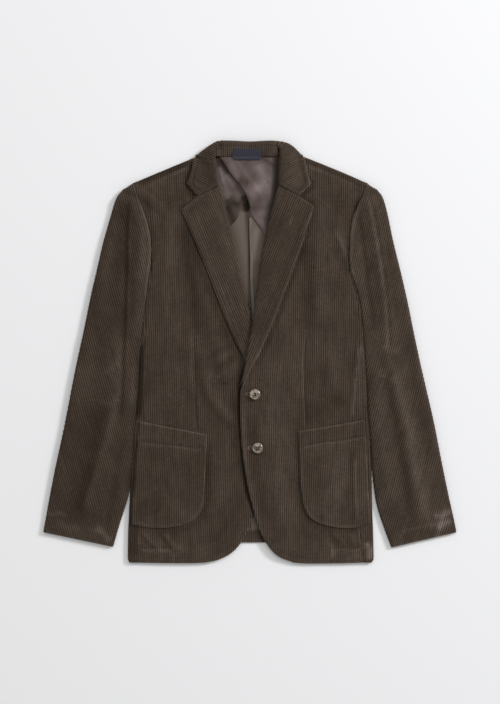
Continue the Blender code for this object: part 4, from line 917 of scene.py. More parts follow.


def new_material(name, colour, roughness, specular=0.5, sheen=0.0, sheen_tint=(1, 1, 1)):
    """A material of one colour."""
    material = bpy.data.materials.new(name)
    material.use_nodes = True
    for socket, value in (
        ("Base Color", (*colour, 1)), ("Roughness", roughness), ("Specular IOR Level", specular),
        ("Sheen Weight", sheen), ("Sheen Tint", (*sheen_tint, 1)), ("Sheen Roughness", 0.5),
    ):
        material.node_tree.nodes["Principled BSDF"].inputs[socket].default_value = value
    return material


class Nodes:
    """Short calls for building a material's node tree. A value is a constant or another node's output."""

    def __init__(self, material):
        self.tree = material.node_tree
        self.shader = self.tree.nodes["Principled BSDF"].inputs

    def put(self, socket, value):
        """Gives a socket its value."""
        if hasattr(value, "links"):
            self.tree.links.new(value, socket)
        else:
            socket.default_value = value

    def add(self, kind, values=(), **settings):
        """A new node with its settings, and the values of the sockets that are named or numbered."""
        node = self.tree.nodes.new(kind)
        for key, value in settings.items():
            setattr(node, key, value)
        for socket, value in values:
            self.put(node.inputs[socket], value)
        return node

    def math(self, operation, *values):
        """Arithmetic with numbers."""
        return self.add("ShaderNodeMath", enumerate(values), operation=operation).outputs[0]

    def vector(self, operation, *values):
        """Arithmetic with places and colours."""
        return self.add("ShaderNodeVectorMath", enumerate(values), operation=operation).outputs[0]

    def scaled(self, place, across, along):
        """A place stretched by two factors."""
        return self.vector("MULTIPLY", place, (across, along, 1.0))

    def noise(self, place, scale=1.0, detail=3.0, roughness=0.6):
        """Uneven values round a half."""
        values = (("Vector", place), ("Scale", scale), ("Detail", detail), ("Roughness", roughness))
        return self.add("ShaderNodeTexNoise", values).outputs["Fac"]

    def within(self, value, low, high):
        """A value kept between two others."""
        return self.math("MINIMUM", self.math("MAXIMUM", value, low), high)

    def blend(self, share, pair):
        """A mix of two colours."""
        first, second = pair
        values = ((0, share), (6, (*first, 1)), (7, (*second, 1)))
        return self.add("ShaderNodeMix", values, data_type="RGBA").outputs[2]

    def cloth(self):
        """Place on the cloth: cords across, and millimetres along them."""
        return self.add("ShaderNodeUVMap", uv_map="cloth").outputs[0]

    def toned(self, colour):
        """The colour times each point's tone, which holds painted shade and painted light as well as wear and
        random unevenness.
        """
        tone = self.add("ShaderNodeAttribute", attribute_name="tone").outputs["Fac"]
        tint = self.add("ShaderNodeCombineXYZ")
        for socket, power in zip(tint.inputs, SHADE_TINT_POWERS):
            self.put(socket, self.math("POWER", tone, power))
        return self.vector("MULTIPLY", colour, tint.outputs[0])

    def bump(self, height, strength, distance):
        """Fine relief that only the light shows."""
        values = (("Strength", strength), ("Distance", distance), ("Height", height))
        self.put(self.shader["Normal"], self.add("ShaderNodeBump", values).outputs[0])


def woven_material(name, pair, roughness, specular, count, strength):
    """Plain or satin weave: fine threads both ways, with their own shade."""
    material = new_material(name, pair[1], roughness, specular)
    nodes = Nodes(material)
    place = nodes.cloth()
    warp = nodes.noise(nodes.scaled(place, count * WALE, count * 0.15))
    weft = nodes.noise(nodes.scaled(place, count * WALE * 0.15, count))
    threads = nodes.math("MULTIPLY_ADD", warp, 0.6, nodes.math("MULTIPLY", weft, 0.4))
    nodes.put(nodes.shader["Base Color"], nodes.toned(nodes.blend(threads, pair)))
    nodes.bump(threads, strength, 0.0003)
    return material


def corduroy_material():
    """Cotton corduroy: pile cords with lighter crowns and darker channels, partly from the pile and its wear
    and partly painted shade in the channels, and a short nap.
    """
    material = new_material("corduroy_nap", CORDUROY[1], 0.95, 0.12, 0.12, (1.0, 0.78, 0.6))
    nodes = Nodes(material)
    place = nodes.cloth()
    cords = nodes.add("ShaderNodeSeparateXYZ", ((0, place),)).outputs[0]
    wave = nodes.math("COSINE", nodes.math("MULTIPLY", cords, 2 * math.pi))
    crown = nodes.math("POWER", nodes.math("MULTIPLY_ADD", wave, 0.5, 0.5), 0.6)
    tufts = nodes.noise(nodes.scaled(place, 4.0, 0.8), detail=4.0, roughness=0.7)
    broad = nodes.noise(nodes.scaled(place, 0.12, 0.022), detail=2.0)
    clear = nodes.within(nodes.math("MULTIPLY_ADD", broad, 4.5, -1.5), 0.1, 1.6)
    # Lighter crowns and darker channels: partly the pile's own colour, partly painted shade in the channels.
    ribs = nodes.math("MULTIPLY", nodes.math("ADD", crown, -0.5), clear)
    colour = nodes.blend(nodes.math("MULTIPLY_ADD", tufts, 1.1, ribs), CORDUROY)
    rubbed = nodes.noise(nodes.scaled(place, 0.75, 0.16), detail=4.0, roughness=0.75)
    crossed = nodes.noise(nodes.scaled(place, 0.30, 0.42), roughness=0.7)
    nap = nodes.math("MULTIPLY_ADD", rubbed, 0.85, nodes.math("MULTIPLY_ADD", broad, 0.45, -0.125))
    nap = nodes.math("MULTIPLY_ADD", crossed, 0.95, nap)
    values = ((0, nodes.toned(colour)), ("Scale", nap))
    mottled = nodes.add("ShaderNodeVectorMath", values, operation="SCALE")
    nodes.put(nodes.shader["Base Color"], mottled.outputs[0])
    nodes.bump(nodes.math("MULTIPLY_ADD", tufts, 0.6, crown), 0.5, 0.0005)
    return material


def horn_material():
    """Buffalo horn: pale and brown clouds with dark streaks, a rim painted a plain brown as the shade of its
    rounded edge, and a soft polish.
    """
    material = new_material("horn_button", (0.22, 0.18, 0.13), 0.22)
    nodes = Nodes(material)
    coordinates = nodes.add("ShaderNodeTexCoord").outputs
    clouds = nodes.noise(nodes.scaled(coordinates["Object"], 1.0, 0.5), 260.0, roughness=0.65)
    flecks = nodes.noise(coordinates["Object"], 1100.0, 2.0, 0.5)
    from_middle = nodes.vector("SUBTRACT", coordinates["Generated"], (0.5, 0.5, 0.0))
    flattened = nodes.vector("MULTIPLY", from_middle, (2.0, 2.0, 0.0))
    reach = nodes.add("ShaderNodeVectorMath", ((0, flattened),), operation="LENGTH").outputs["Value"]
    rim = nodes.math("POWER", reach, 4.0)
    share = nodes.math("MULTIPLY_ADD", flecks, 0.6, nodes.math("MULTIPLY_ADD", clouds, 4.4, -2.1))
    inner = nodes.math("SUBTRACT", 1.0, nodes.math("MINIMUM", rim, 1.0))
    # Towards the rim the colour goes to a plain mid-brown all round: painted shade of the rounded rim.
    rim_shade = nodes.math("MULTIPLY", rim, 0.40)
    share = nodes.math("MULTIPLY_ADD", nodes.within(share, 0.0, 1.0), inner, rim_shade)
    nodes.put(nodes.shader["Base Color"], nodes.blend(share, HORN))
    return material


corduroy = corduroy_material()
satin = woven_material("satin_lining", SATIN, 0.45, 0.14, 1.2, 0.1)
navy = woven_material("navy_label", NAVY, 0.8, 0.25, 1.5, 0.3)
plain_back = woven_material("cotton_back", PLAIN_BACK, 0.95, 0.1, 0.9, 0.4)
horn = horn_material()
thread = new_material("sewing_thread", (0.080, 0.060, 0.044), 0.8, sheen=0.2)
dark_thread = new_material("button_thread", (0.030, 0.022, 0.016), 0.8)
worked_thread = new_material("buttonhole_thread", (0.26, 0.21, 0.16), 0.8)
# Near-black: painted shade inside the buttonhole.
hole_shade = new_material("buttonhole_slit", (0.004, 0.003, 0.002), 0.9)


# Cord profile: where in a cord the cloth is sampled, and its height there, from groove to crown.
CORD_PLACES = np.array((0.1, 0.3, 0.5, 0.7, 0.9))
CORD_HEIGHTS = np.array((1.0, 0.55, -1.0, 0.55, 1.0))

# The finished face of each piece, as points and directions, for what is sewn on it.
surfaces = {}


def cord_height(phase):
    """The cord profile at each cord coordinate."""
    return np.interp(phase, CORD_PLACES, CORD_HEIGHTS, period=1.0)


def zipper(one, other, one_keys=None, other_keys=None):
    """Triangles between two strips of point numbers that run the same way."""
    n, m = len(one) - 1, len(other) - 1
    one_keys = list(np.linspace(0, 1, n + 1) if one_keys is None else one_keys)
    other_keys = list(np.linspace(0, 1, m + 1) if other_keys is None else other_keys)
    one, other = list(one), list(other)
    faces, i, j = [], 0, 0
    while i < n or j < m:
        if j == m or (i < n and one_keys[i + 1] <= other_keys[j + 1]):
            faces.append((one[i], one[i + 1], other[j]))
            i += 1
        else:
            faces.append((one[i], other[j + 1], other[j]))
            j += 1
    return faces


def numbered(rows, start=0):
    """The point numbers of rows that follow each other."""
    ends = start + np.cumsum([len(row) for row in rows])
    return [np.arange(end - len(row), end) for row, end in zip(rows, ends)]


def mesh_object(name, points, faces, finishes, slot="corduroy", cloth=None, tone=None, which=None):
    """A mesh of triangles from points in millimetres, with its cloth coordinates, its tone and which of its
    finishes each face has."""
    faces = np.asarray(faces, np.int32)
    mesh = bpy.data.meshes.new(name)
    mesh.vertices.add(len(points))
    mesh.vertices.foreach_set("co", (np.asarray(points) * MM).astype(np.float32).ravel())
    mesh.loops.add(faces.size)
    mesh.loops.foreach_set("vertex_index", faces.ravel())
    mesh.polygons.add(len(faces))
    mesh.polygons.foreach_set("loop_start", np.arange(0, faces.size, 3, dtype=np.int32))
    mesh.update(calc_edges=True)
    if cloth is not None:
        layer = mesh.uv_layers.new(name="cloth")
        layer.data.foreach_set("uv", np.asarray(cloth, np.float32)[faces.ravel()].ravel())
        layer = mesh.attributes.new("tone", "FLOAT", "POINT")
        layer.data.foreach_set("value", np.asarray(tone, np.float32))
    mesh.shade_smooth()
    for finish in finishes:
        mesh.materials.append(finish)
    if which is not None:
        mesh.polygons.foreach_set("material_index", np.asarray(which, np.int32))
    thing = bpy.data.objects.new(name, mesh)
    bpy.context.scene.collection.objects.link(thing)
    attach(thing, "root")
    return thing


def tighten_rows(grid):
    """Adds rows close to the first and the last one, where the cloth rounds over its edge."""
    def near(edge, beside):
        """Two rows between an edge and the row beside it."""
        length = np.linalg.norm((beside - edge)[:, :3], axis=1).mean()
        return [edge + (beside - edge) * min(share * FREE / length, 0.9) for share in (0.15, 0.5)]

    first, last = near(grid[0], grid[1]), near(grid[-1], grid[-2])[::-1]
    return np.concatenate([grid[:1], first, grid[1:-1], last, grid[-1:]])


def cord_stops(course, sign):
    """The sampled places of each cord, as cord coordinates, that lie within a row."""
    cords = np.arange(math.floor(course[0]), math.ceil(course[-1]) + 1)
    stops = cords[:, None] + (CORD_PLACES - (0 if sign > 0 else 1))[None]
    stops = np.unique(np.round(stops.ravel(), 4))
    return stops[(stops > course[0]) & (stops < course[-1])]


def row_places(along, course, sign, step):
    """Where a row is sampled: in each cord, or at each step where the cloth is plain, and near both ends."""
    total = along[-1]
    if step:
        places = np.linspace(0, total, max(3, int(total / step)))
    else:
        places = np.interp(cord_stops(course, sign), course, along)
    inset = min(ROW_INSET, total / 4)
    ends = np.array((0, 0.25, 0.68)) * inset
    places = places[(places > inset) & (places < total - inset)]
    return np.concatenate([ends, places, (total - ends)[::-1]])


def normals_of(grid):
    """The direction square to the surface at each point of a grid."""
    normal = np.cross(np.gradient(grid, axis=1), np.gradient(grid, axis=0))
    return normal / np.maximum(np.linalg.norm(normal, axis=2, keepdims=True), 1e-9)


def sample_rows(mid, normal, phase, rounds, coarse, step, half):
    """Rows of samples for a shell's finished face, with the cord coordinates that order them, and the rows of
    points of its back. A sample is a place, a direction, two cloth coordinates and how far in from the
    nearest edge it is, as a share of that edge's rounding."""
    walked = np.cumsum(np.linalg.norm(np.diff(mid, axis=0), axis=2), axis=0)
    walked = np.concatenate([np.zeros((1, mid.shape[1])), walked])
    to_end = np.minimum(walked / rounds[2], (walked[-1] - walked) / rounds[3])
    back_rows = np.linspace(1, len(mid) - 2, max(3, int(walked[-1].mean() / coarse[0]))).astype(int)
    samples, keys, backs = [], [], []
    for i, row in enumerate(mid):
        along = along_of(row)
        total = along[-1]
        sign = 1.0 if phase[i, -1] > phase[i, 0] else -1.0
        course = np.maximum.accumulate(sign * phase[i] + np.arange(len(row)) * 1e-7)
        carried = np.column_stack([row, normal[i], course, walked[i], to_end[i]])
        places = row_places(along, course, sign, step)
        spot, way, here, down, away = np.split(sampled(places, along, carried), (3, 6, 7, 8), axis=1)
        way = way / np.linalg.norm(way, axis=1, keepdims=True)
        away = np.minimum(np.minimum(places / rounds[0], (total - places) / rounds[1]), away[:, 0])
        samples.append(np.column_stack([spot, way, sign * here, down, away]))
        keys.append(here[:, 0])
        if i in back_rows:
            inset = min(ROW_INSET, total / 4)
            places = np.linspace(inset, total - inset, max(3, int(total / coarse[1])))
            backs.append(sampled(places, along, row) - sampled(places, along, normal[i]) * half)
    return samples, keys, backs


def shell(name, mid, phase, finish=corduroy, slot="corduroy", thickness=CLOTH, probe=(0.5, 0.5), down=False,
          relief=None, coarse=(24.0, 12.0), step=None, rounds=(SEWN, SEWN, SEWN, SEWN), inside=None):
    """A thin closed shell round rows of mid-plane points. Its finished face has the cords, one strip of
    triangles for each fifth of a cord, or a plain weave sampled at each step, and its back is plain and
    coarser. The probe is a share of the rows and columns where the finished face looks up, or down. The
    cloth rounds over within the distances in rounds: from the start and the end of its rows, and from its
    first and its last row."""
    grid = tighten_rows(np.concatenate([mid, phase[..., None]], axis=2))
    mid, phase = grid[..., :3], grid[..., 3]
    normal = normals_of(mid)
    probed = normal[tuple(int(share * (count - 1)) for share, count in zip(probe, phase.shape))]
    turned = (probed[2] > 0) == down
    normal = -normal if turned else normal
    samples, keys, backs = sample_rows(mid, normal, phase, rounds, coarse, step, thickness / 2)
    numbers = numbered(samples)
    inner_numbers = numbered(backs, numbers[-1][-1] + 1)
    spot, way, cloth, away = np.split(np.concatenate(samples), (3, 6, 8), axis=1)
    away = away[:, 0]
    share = np.clip(away, 0, 1)
    height = thickness / 2 * np.sqrt(1 - (1 - share) ** 2)  # a quarter round at each edge
    tone = np.ones(len(spot))
    if not step:
        height = height + WALE_HEIGHT * cord_height(cloth[:, 0]) * share
    if relief:
        more, tone = relief(spot, cloth)
        height = height + more * share
    if not step:
        crowns = 0.2 + 0.8 * (0.5 + 0.5 * cord_height(cloth[:, 0]))
        uneven = 0.65 + 0.35 * np.sin(spot[:, 0] * 0.9 + spot[:, 1] * 1.3)
        tone = tone * (1 + EDGE_WEAR * bell(away, EDGE_WEAR_REACH) * crowns * uneven)
    outer, inner = spot + way * height[:, None], np.concatenate(backs)
    surfaces[name] = (outer, way)
    faces = [face for pair in zip(numbers, numbers[1:], keys, keys[1:]) for face in zipper(*pair)]
    finished = len(faces)
    faces += [face[::-1] for pair in zip(inner_numbers, inner_numbers[1:]) for face in zipper(*pair)]
    plain = len(faces)
    faces += zipper(inner_numbers[0], numbers[0])
    faces += zipper(numbers[-1], inner_numbers[-1])
    faces += zipper([row[0] for row in numbers], [row[0] for row in inner_numbers])
    faces += zipper([row[-1] for row in inner_numbers], [row[-1] for row in numbers])
    points = np.concatenate([outer, inner])
    points[:, 2] = np.maximum(points[:, 2], 0.0)
    cloth = np.concatenate([cloth, inner[:, :2] / WALE])
    tone = np.concatenate([tone, painted_shade_and_wear("inside", inner) if inside else np.ones(len(inner))])
    order = np.arange(len(faces))
    which = (order >= finished) & (order < plain) if inside else None
    finishes = [finish, inside] if inside else [finish]
    faces = np.array(faces)[:, ::-1] if turned else faces
    return mesh_object(name, points, faces, finishes, slot, cloth, tone, which)


def pile(spot, cloth):
    """Unevenness of the nap from cord to cord and along each cord: part height, part shade."""
    cord = np.floor(cloth[:, 0])
    each = np.mod(np.sin(cord * 12.9898) * 43758.5453, 1.0)
    patches = rolling(spot[:, 0], spot[:, 1], 60, 31)
    streaks = np.sin(cloth[:, 1] * 0.06 + each * 20) * np.sin(cloth[:, 1] * 0.021 + each * 7)
    height = 0.05 * streaks + 0.04 * (each - 0.5)
    shade = 1.0 + 0.06 * patches + 0.08 * streaks + 0.12 * (each - 0.5)
    return height, shade


def napped(piece, *features):
    """The relief of corduroy: its pile, its strokes of painted shade, painted light and wear, and the height
    that its features add.
    """
    def relief(spot, cloth):
        height, shade = pile(spot, cloth)
        for feature in features:
            height = height + feature(spot)
        return height, shade * painted_shade_and_wear(piece, spot)

    return relief


def rippled(piece):
    """Satin ripples softly; painted highlights and painted shade from the stroke table lie along the ripples,
    with a slight random unevenness of tone.
    """
    def relief(spot, cloth):
        x, y = spot[:, 0], spot[:, 1]
        ripple = folds(RIPPLES, piece, x, y) + 0.12 * rolling(x, y, 34, 3)
        return np.maximum(ripple, -0.3), painted_shade_and_wear(piece, spot) * (1 + 0.1 * rolling(x, y, 30, 8))

    return relief


def distance_to(line, reach=14.0):
    """A function that says how far places in the plan are from a line, up to the reach."""
    line = np.asarray(line, float)
    line = evenly(line, max(2, int(along_of(line)[-1] / 0.7)))
    low, high = line.min(axis=0) - reach, line.max(axis=0) + reach
    tree = KDTree(len(line))
    for i, (x, y) in enumerate(line):
        tree.insert((x, y, 0), i)
    tree.balance()

    def away(spot):
        """The distance of each place, where it is within reach of the line."""
        near = np.full(len(spot), reach)
        for i in np.flatnonzero(((spot[:, :2] > low) & (spot[:, :2] < high)).all(axis=1)):
            near[i] = min(tree.find((spot[i, 0], spot[i, 1], 0))[2], reach)
        return near

    return away


def topstitched(line, offset=TOPSTITCH_IN):
    """Swell beside a stitched edge and the dip along its stitching."""
    away = distance_to(line)

    def feature(spot):
        near = away(spot)
        return SWELL * bell(near - offset * 0.5, 2.2) - DIP * bell(near - offset, 1.2)

    return feature


def ridge(line, width, height, offset=0.0):
    """A low rise, or a groove where the height is below zero, along a line or beside it."""
    away = distance_to(line)
    return lambda spot: height * bell(away(spot) - offset, width)


def side_panel(name, side):
    """The panel that wraps the side fold of the body, from its seam on top to the one underneath."""
    fold_column, seam_column = (1, 2) if side < 0 else (3, 4)
    flat_steps, turn_steps, under_steps = 25, 14, 49
    rows = between(BODY_SIDE, 110)
    rows[-2:, fold_column] -= side * np.array(HEM_CORNER)
    y, fold, under = rows[:, 0], rows[:, fold_column], side * rows[:, 5]
    seam = np.stack([rows[:, seam_column] + side * SEAM, y], axis=1)
    height = body_height(fold, y)
    edge = np.stack([fold - side * ((height - FLOOR) / 2 + CLOTH / 2), y], axis=1)
    edge[:, 0] = np.where((edge - seam)[:, 0] * side < 0.8, seam[:, 0] + side * 0.8, edge[:, 0])
    flat = rows_between(seam, edge, flat_steps + 1)[:, :-1]
    top = raised(flat, body_height(flat[..., 0], flat[..., 1]))
    fall = turns(edge, np.tile((float(side), 0.0), (len(rows), 1)), height, FLOOR, turn_steps)
    under = rows_between(edge, np.stack([under, y], axis=1), under_steps + 1)[:, 1:]
    grid = np.concatenate([top, fall, raised(under, FLOOR)], axis=1)
    tilt = side * PANEL_GRAIN
    phase = carried_on(grain(grid, tilt), grid, 0, flat_steps - 1, side, math.cos(tilt))
    shell(f"{name}_cloth", grid, phase, probe=(0.5, 0.05), relief=napped(name))


def front(name, side, height, neckline, table, edge, hem, shoulder, armhole):
    """A front from the shoulder fold, which it wraps, to the hem."""
    rows, columns = 170, 150
    seams = between(BODY_SIDE, 140)[:, [2 if side < 0 else 4, 0]]
    seam_line = np.concatenate([spline(armhole, 60), seams])
    starts = [roll_start(row) for row in between(table, 17)]
    rolls = np.array([start + out * EDGE_GAP for start, out, _ in starts])
    outer = evenly(seam_line, rows)
    inner = evenly(np.concatenate([spline(neckline, 4), rolls, spline(edge, 60)]), rows)
    fold = spline(shoulder, columns)
    outward = SHOULDER_OUT * (side, 1)
    top = fold - outward * (0.5 * (body_height(*fold.T) - FLOOR)[:, None] + CLOTH / 2)
    # Both side edges are drawn to the ends of the shoulder fold, in their first sixth and eighth.
    fade = np.linspace(1, 0, rows)[:, None]
    outer = outer + np.maximum(fade * 6 - 5, 0) * (top[-1] - outer[0])
    inner = inner + np.maximum(fade * 8 - 7, 0) * (top[0] - inner[0])
    plan = patch(top, spline(hem, columns), inner, outer)
    surface = raised(plan, height(plan[..., 0], plan[..., 1]))
    rolled = turns(top, np.tile(outward, (columns, 1)), surface[0, :, 2], FLOOR, 12)
    grid = np.concatenate([np.transpose(rolled, (1, 0, 2))[:0:-1], surface])
    phase = grain(grid[..., :2] + wobble(grid), -side * PANEL_GRAIN)
    edge_line = np.concatenate([rolls, spline(edge, 60), spline(hem, 80)])
    grooves = [ridge(spline(points, 60), width, -depth) for width, depth, points in GROOVES[name]]
    armhole_swell = ridge(evenly(seam_line, 300), 2.0, 0.4, 3.5)
    relief = napped(name, topstitched(edge_line), armhole_swell, *grooves)
    shell(f"{name}_cloth", grid, phase, relief=relief, rounds=(FREE, SEWN, SEWN, FREE))


def back(name, side, shoulder, armhole):
    """Half of the back, flat on the surface. Its plain inside is what shows in the neck."""
    rows, columns = 120, 60
    centre_x, neck_y = side * SEAM / 2, 351
    inside_fold = 15.5  # the front wraps the shoulder fold, and the back starts where that ends
    inside_armhole = 3.0
    line = np.array(shoulder, float) - SHOULDER_OUT * (side, 1) * inside_fold
    line[-1] = (side * 206, 289)
    top = np.concatenate([((centre_x, neck_y), (side * 54, neck_y), (side * 72, neck_y - 1)), line])
    down = [(x - side * inside_armhole, y) for x, y in armhole[2:]]
    seams = between(BODY_SIDE, 80)
    seam = np.stack([side * (seams[:, 5] - SEAM), seams[:, 0]], axis=1)
    seam[-1, 1] = -387
    outer = evenly(np.concatenate([line[-1:], spline(down, 30), seam]), rows)
    hem = (
        (centre_x, HEM_CENTRE), (side * 30, HEM_CENTRE), (side * 66, -367), (side * 110, -384), seam[-1],
    )
    centre = evenly(((centre_x, neck_y), (centre_x, 0), (centre_x, HEM_CENTRE)), rows)
    plan = patch(evenly(top, columns), spline(hem, columns), centre, outer)
    shell(
        f"{name}_cloth", raised(plan, FLOOR), grain(plan, 0.0), down=True, coarse=(6.0, 5.0),
        inside=plain_back,
    )


def sleeve_head(first, outward):
    """The rounded end of the sleeve over the shoulder, from the surface up to its first row."""
    angle = np.linspace(np.pi / 2, 0, 12)[:, None]
    shoulder_x = 214
    tucked = 1 - 0.65 * ease((np.abs(first[:, 0]) - shoulder_x) / 24)
    reach = np.maximum(0.52 * (first[:, 2] - FLOOR), 1.2) * tucked
    plan = first[None, :, :2] + (reach * np.sin(angle))[..., None] * outward
    return raised(plan, FLOOR + (first[:, 2] - FLOOR) * np.cos(angle))


def sleeve(name, side, table):
    """The top sleeve wraps both edges, and the under sleeve closes it on the surface."""
    rows, lead_steps, turn_steps, columns, tail_steps = 140, 7, 12, 110, 23
    beside = 6  # how far in from an edge its height is read
    under_out, under_in = 26.0, 7.0  # how far the top sleeve goes on underneath, at most
    table = between(table, rows)
    outer, inner, turned = table[:, 0:2], table[:, 2:4], np.clip(table[:, 4], 0, 1)
    width = np.linalg.norm(outer - inner, axis=1)
    out = (outer - inner) / width[:, None]
    # Round the armhole the sleeve's edge puffs over the edge of the front.
    inner = inner - out * (PUFF_OVER * ease((0.5 - turned) * 4))[:, None]
    lifted = f"sleeve_{name}"
    high_out = SLEEVE_TOP + lift(lifted, *(outer - out * beside).T)
    high_in = SLEEVE_TOP + lift(lifted, *(inner + out * beside).T)
    over_front = body_height(*inner.T) + LAYER + SEAM
    high_in = high_in + np.maximum(over_front - high_in, 0) * ease(1 - turned)
    low = high_in + (FLOOR - high_in) * turned
    start = inner + out * ((high_in - low) / 2 + turned * CLOTH / 2)[:, None]
    end = outer - out * ((high_out - FLOOR) / 2 + CLOTH / 2)[:, None]
    flat = rows_between(start, end, columns)
    height = SLEEVE_TOP + lift(lifted, flat[..., 0], flat[..., 1])
    # Both sides meet the height of their turns.
    keep = np.linspace(1, 0, columns)[None]
    miss_in, miss_out = (high_in - height[:, 0])[:, None], (high_out - height[:, -1])[:, None]
    height += miss_in * keep**3 + miss_out * (1 - keep) ** 3
    rise = turns(start, -out, low, high_in, turn_steps)
    fall = turns(end, out, high_out, FLOOR, turn_steps)
    seam_out = end - out * np.minimum(under_out, width * 0.25)[:, None]
    seam_in = start + out * (0.5 + under_in * turned)[:, None]
    curled = rise[:, 0] - (rise[:, 1] - rise[:, 0]) * 0.4
    lead = np.where((turned < 1)[:, None], curled, raised(seam_in, low))
    lead = rows_between(lead, rise[:, 0], lead_steps + 1)[:, :-1]
    tail = rows_between(fall[:, -1], raised(seam_out, FLOOR), tail_steps + 1)[:, 1:]
    grid = np.concatenate([lead, rise[:, :-1], raised(flat, height), fall[:, 1:], tail], axis=1)
    cap = sleeve_head(grid[0], SHOULDER_OUT * (side, 1))
    grid = np.concatenate([cap[:-1], grid])
    first = lead_steps + turn_steps - 1
    phase = grain(grid[..., :2] + 0.6 * wobble(grid), -side * SLEEVE_GRAIN)
    phase = carried_on(phase, grid, first, first + columns - 1, side)
    piece = f"sleeve_top_{name}"
    shell(f"{piece}_cloth", grid, phase, relief=napped(piece), rounds=(SEWN, SEWN, SEWN, FREE))
    inner_seam = np.where((turned > 0.5)[:, None], seam_in + out * SEAM, inner + out * 2.0)
    plan = rows_between(inner_seam, seam_out - out * SEAM, 60)[15:]
    shell(f"sleeve_under_{name}_cloth", raised(plan, FLOOR), grain(plan, -side * SLEEVE_GRAIN), down=True)


def roll_start(row):
    """Where a lapel's roll stands on its front, the way out from there, and the radius of the roll."""
    roll, edge = row[0:2], row[2:4]
    width = np.linalg.norm(edge - roll)
    out = (edge - roll) / width
    radius = float(np.clip((width - 14) * 0.12, 1.35, ROLL))
    return roll + out * (radius + 0.2), out, radius


def lapel(name, side, height, table, notch):
    """The turned-back facing: it rolls up from the front's edge and lies down towards its own edge."""
    rows, columns, turn_steps, notched = 90, 60, 14, 17
    below_notch, clear = 0.8, 0.2
    table = between(table, rows)
    start, out, radius = (np.array(found) for found in zip(*[roll_start(row) for row in table]))
    flat = rows_between(start, table[:, 2:4], columns)
    corner = np.array(notch, float) - (0, below_notch)
    for index in range(notched):
        bent = evenly(np.array([start[index], corner, table[index, 2:4]]), columns)
        flat[index] += (bent - flat[index]) * (1 - index / notched)
    share = ease(np.linspace(0, 1.1, columns))[None]
    stand = 2 * radius[:, None] * (1 - share) + (LAYER + clear) * share
    level = height(flat[..., 0], flat[..., 1]) + stand
    rolled = turns(start, -out, height(*start.T) + clear, level[:, 0], turn_steps)
    grid = np.concatenate([rolled[:, :-1], raised(flat, level)], axis=1)
    phase = grain(grid, side * LAPEL_GRAIN)
    phase = carried_on(phase, grid, turn_steps - 1, grid.shape[1] - 1, side, 0.95)
    edge_line = np.concatenate([flat[0, 12:], flat[1:, -1]])
    relief = napped(name, topstitched(edge_line))
    shell(f"{name}_cloth", grid, phase, relief=relief, rounds=(SEWN, FREE, SEWN, FREE))


def collar():
    """The collar leaf: on the fronts it lies like the lapels, and round the back it folds underneath. Gives
    the two lines of its edge that are stitched."""
    rows, columns, lead_steps = 300, 76, 14
    table = between(COLLAR, rows)
    fold, over, edge = table[:, 0:2], table[:, 2:4], table[:, 4:6]
    share_under, share_lead = np.clip(table[:, 6], 0, 1), np.clip(table[:, 7], 0.03, 1)
    reach = np.linalg.norm(over - fold, axis=1)
    out = (over - fold) / reach[:, None]
    start = fold + out * ROLL * share_lead[:, None]
    leads = turns(start, -out, BODY_TOP + 1.0, COLLAR_TOP, lead_steps)
    tops = COLLAR_TOP - (COLLAR_TOP - COLLAR_SIDE_TOP) * ease((reach - 12) / 22)
    grid = []
    for i in range(rows):
        lead = leads[i, -1] + (leads[i] - leads[i, -1]) * share_lead[i]
        sharp = evenly(np.array([start[i], over[i], edge[i]]), columns)
        supple = ease(i / 30) * ease((rows - 1 - i) / 30)
        flat = sharp + (evenly(spline((start[i], over[i], edge[i]), 40), columns) - sharp) * supple
        rest = body_height(flat[:, 0], flat[:, 1]) + LAYER + 0.4
        on_top = raised(flat, COLLAR_TOP + (rest - COLLAR_TOP) * ease(np.linspace(0, 1.2, columns)))
        drop = (tops[i] - FLOOR) / 2
        brink = start[i] + out[i] * max(np.dot(over[i] - start[i], out[i]) - drop - CLOTH / 2, 0.0)
        slope = evenly(np.array([start[i], brink]), 12)
        slope = raised(slope, COLLAR_TOP + (tops[i] - COLLAR_TOP) * ease(np.linspace(0, 1, len(slope))))
        fall = turns(brink[None], out[i][None], tops[i], FLOOR, 24)[0]
        below = raised(evenly(np.array([brink, edge[i]]), 20)[1:], FLOOR)
        wrapped = evenly(np.concatenate([slope[:-1], fall, below]), columns)
        body = on_top + (wrapped - on_top) * share_under[i]
        grid.append(np.concatenate([evenly(lead, lead_steps)[:-1], body]))
    grid = np.array(grid)
    smoothings = 6
    for _ in range(smoothings):
        grid[1:-1] = (grid[:-2] + 2 * grid[1:-1] + grid[2:]) / 4
    leaf = grid.transpose(1, 0, 2)
    body = leaf[lead_steps - 1 :, :, :2]
    edge_line = np.concatenate([body[:, 0], body[-1], body[::-1, -1]])
    shell(
        "collar_cloth", leaf, collar_cords(leaf), probe=(0.5, 0.1),
        relief=napped("collar", topstitched(edge_line)), rounds=(FREE, FREE, SEWN, FREE),
    )
    stitched = 60  # how many points of the outer edge each row of topstitching follows
    right = np.concatenate([body[1:, 0], body[-1, 1:stitched]])
    left = np.concatenate([body[1:, -1], body[-1, -2:-stitched:-1]])
    return [right, left]


def collar_cords(grid):
    """Each half of the leaf has its own cords: they meet in a V at the centre back."""
    x, y = grid[..., 0], grid[..., 1]
    side = np.sign(x)
    slant = side * (55 - (y - 380) * 0.89) + 0.45 * (x - side * 55)
    return (x + (slant - x) * ease((np.abs(x) - 30) / 40)) / WALE


def panel_grid(edges, height, rows, columns):
    """A grid that fills four curved edges, at a height for each place."""
    top, bottom = (spline(edges[edge], columns) for edge in ("top", "bottom"))
    inner, outer = (spline(edges[edge], rows) for edge in ("inner", "outer"))
    plan = patch(top, bottom, inner, outer)
    return raised(plan, height(plan[..., 0], plan[..., 1]))


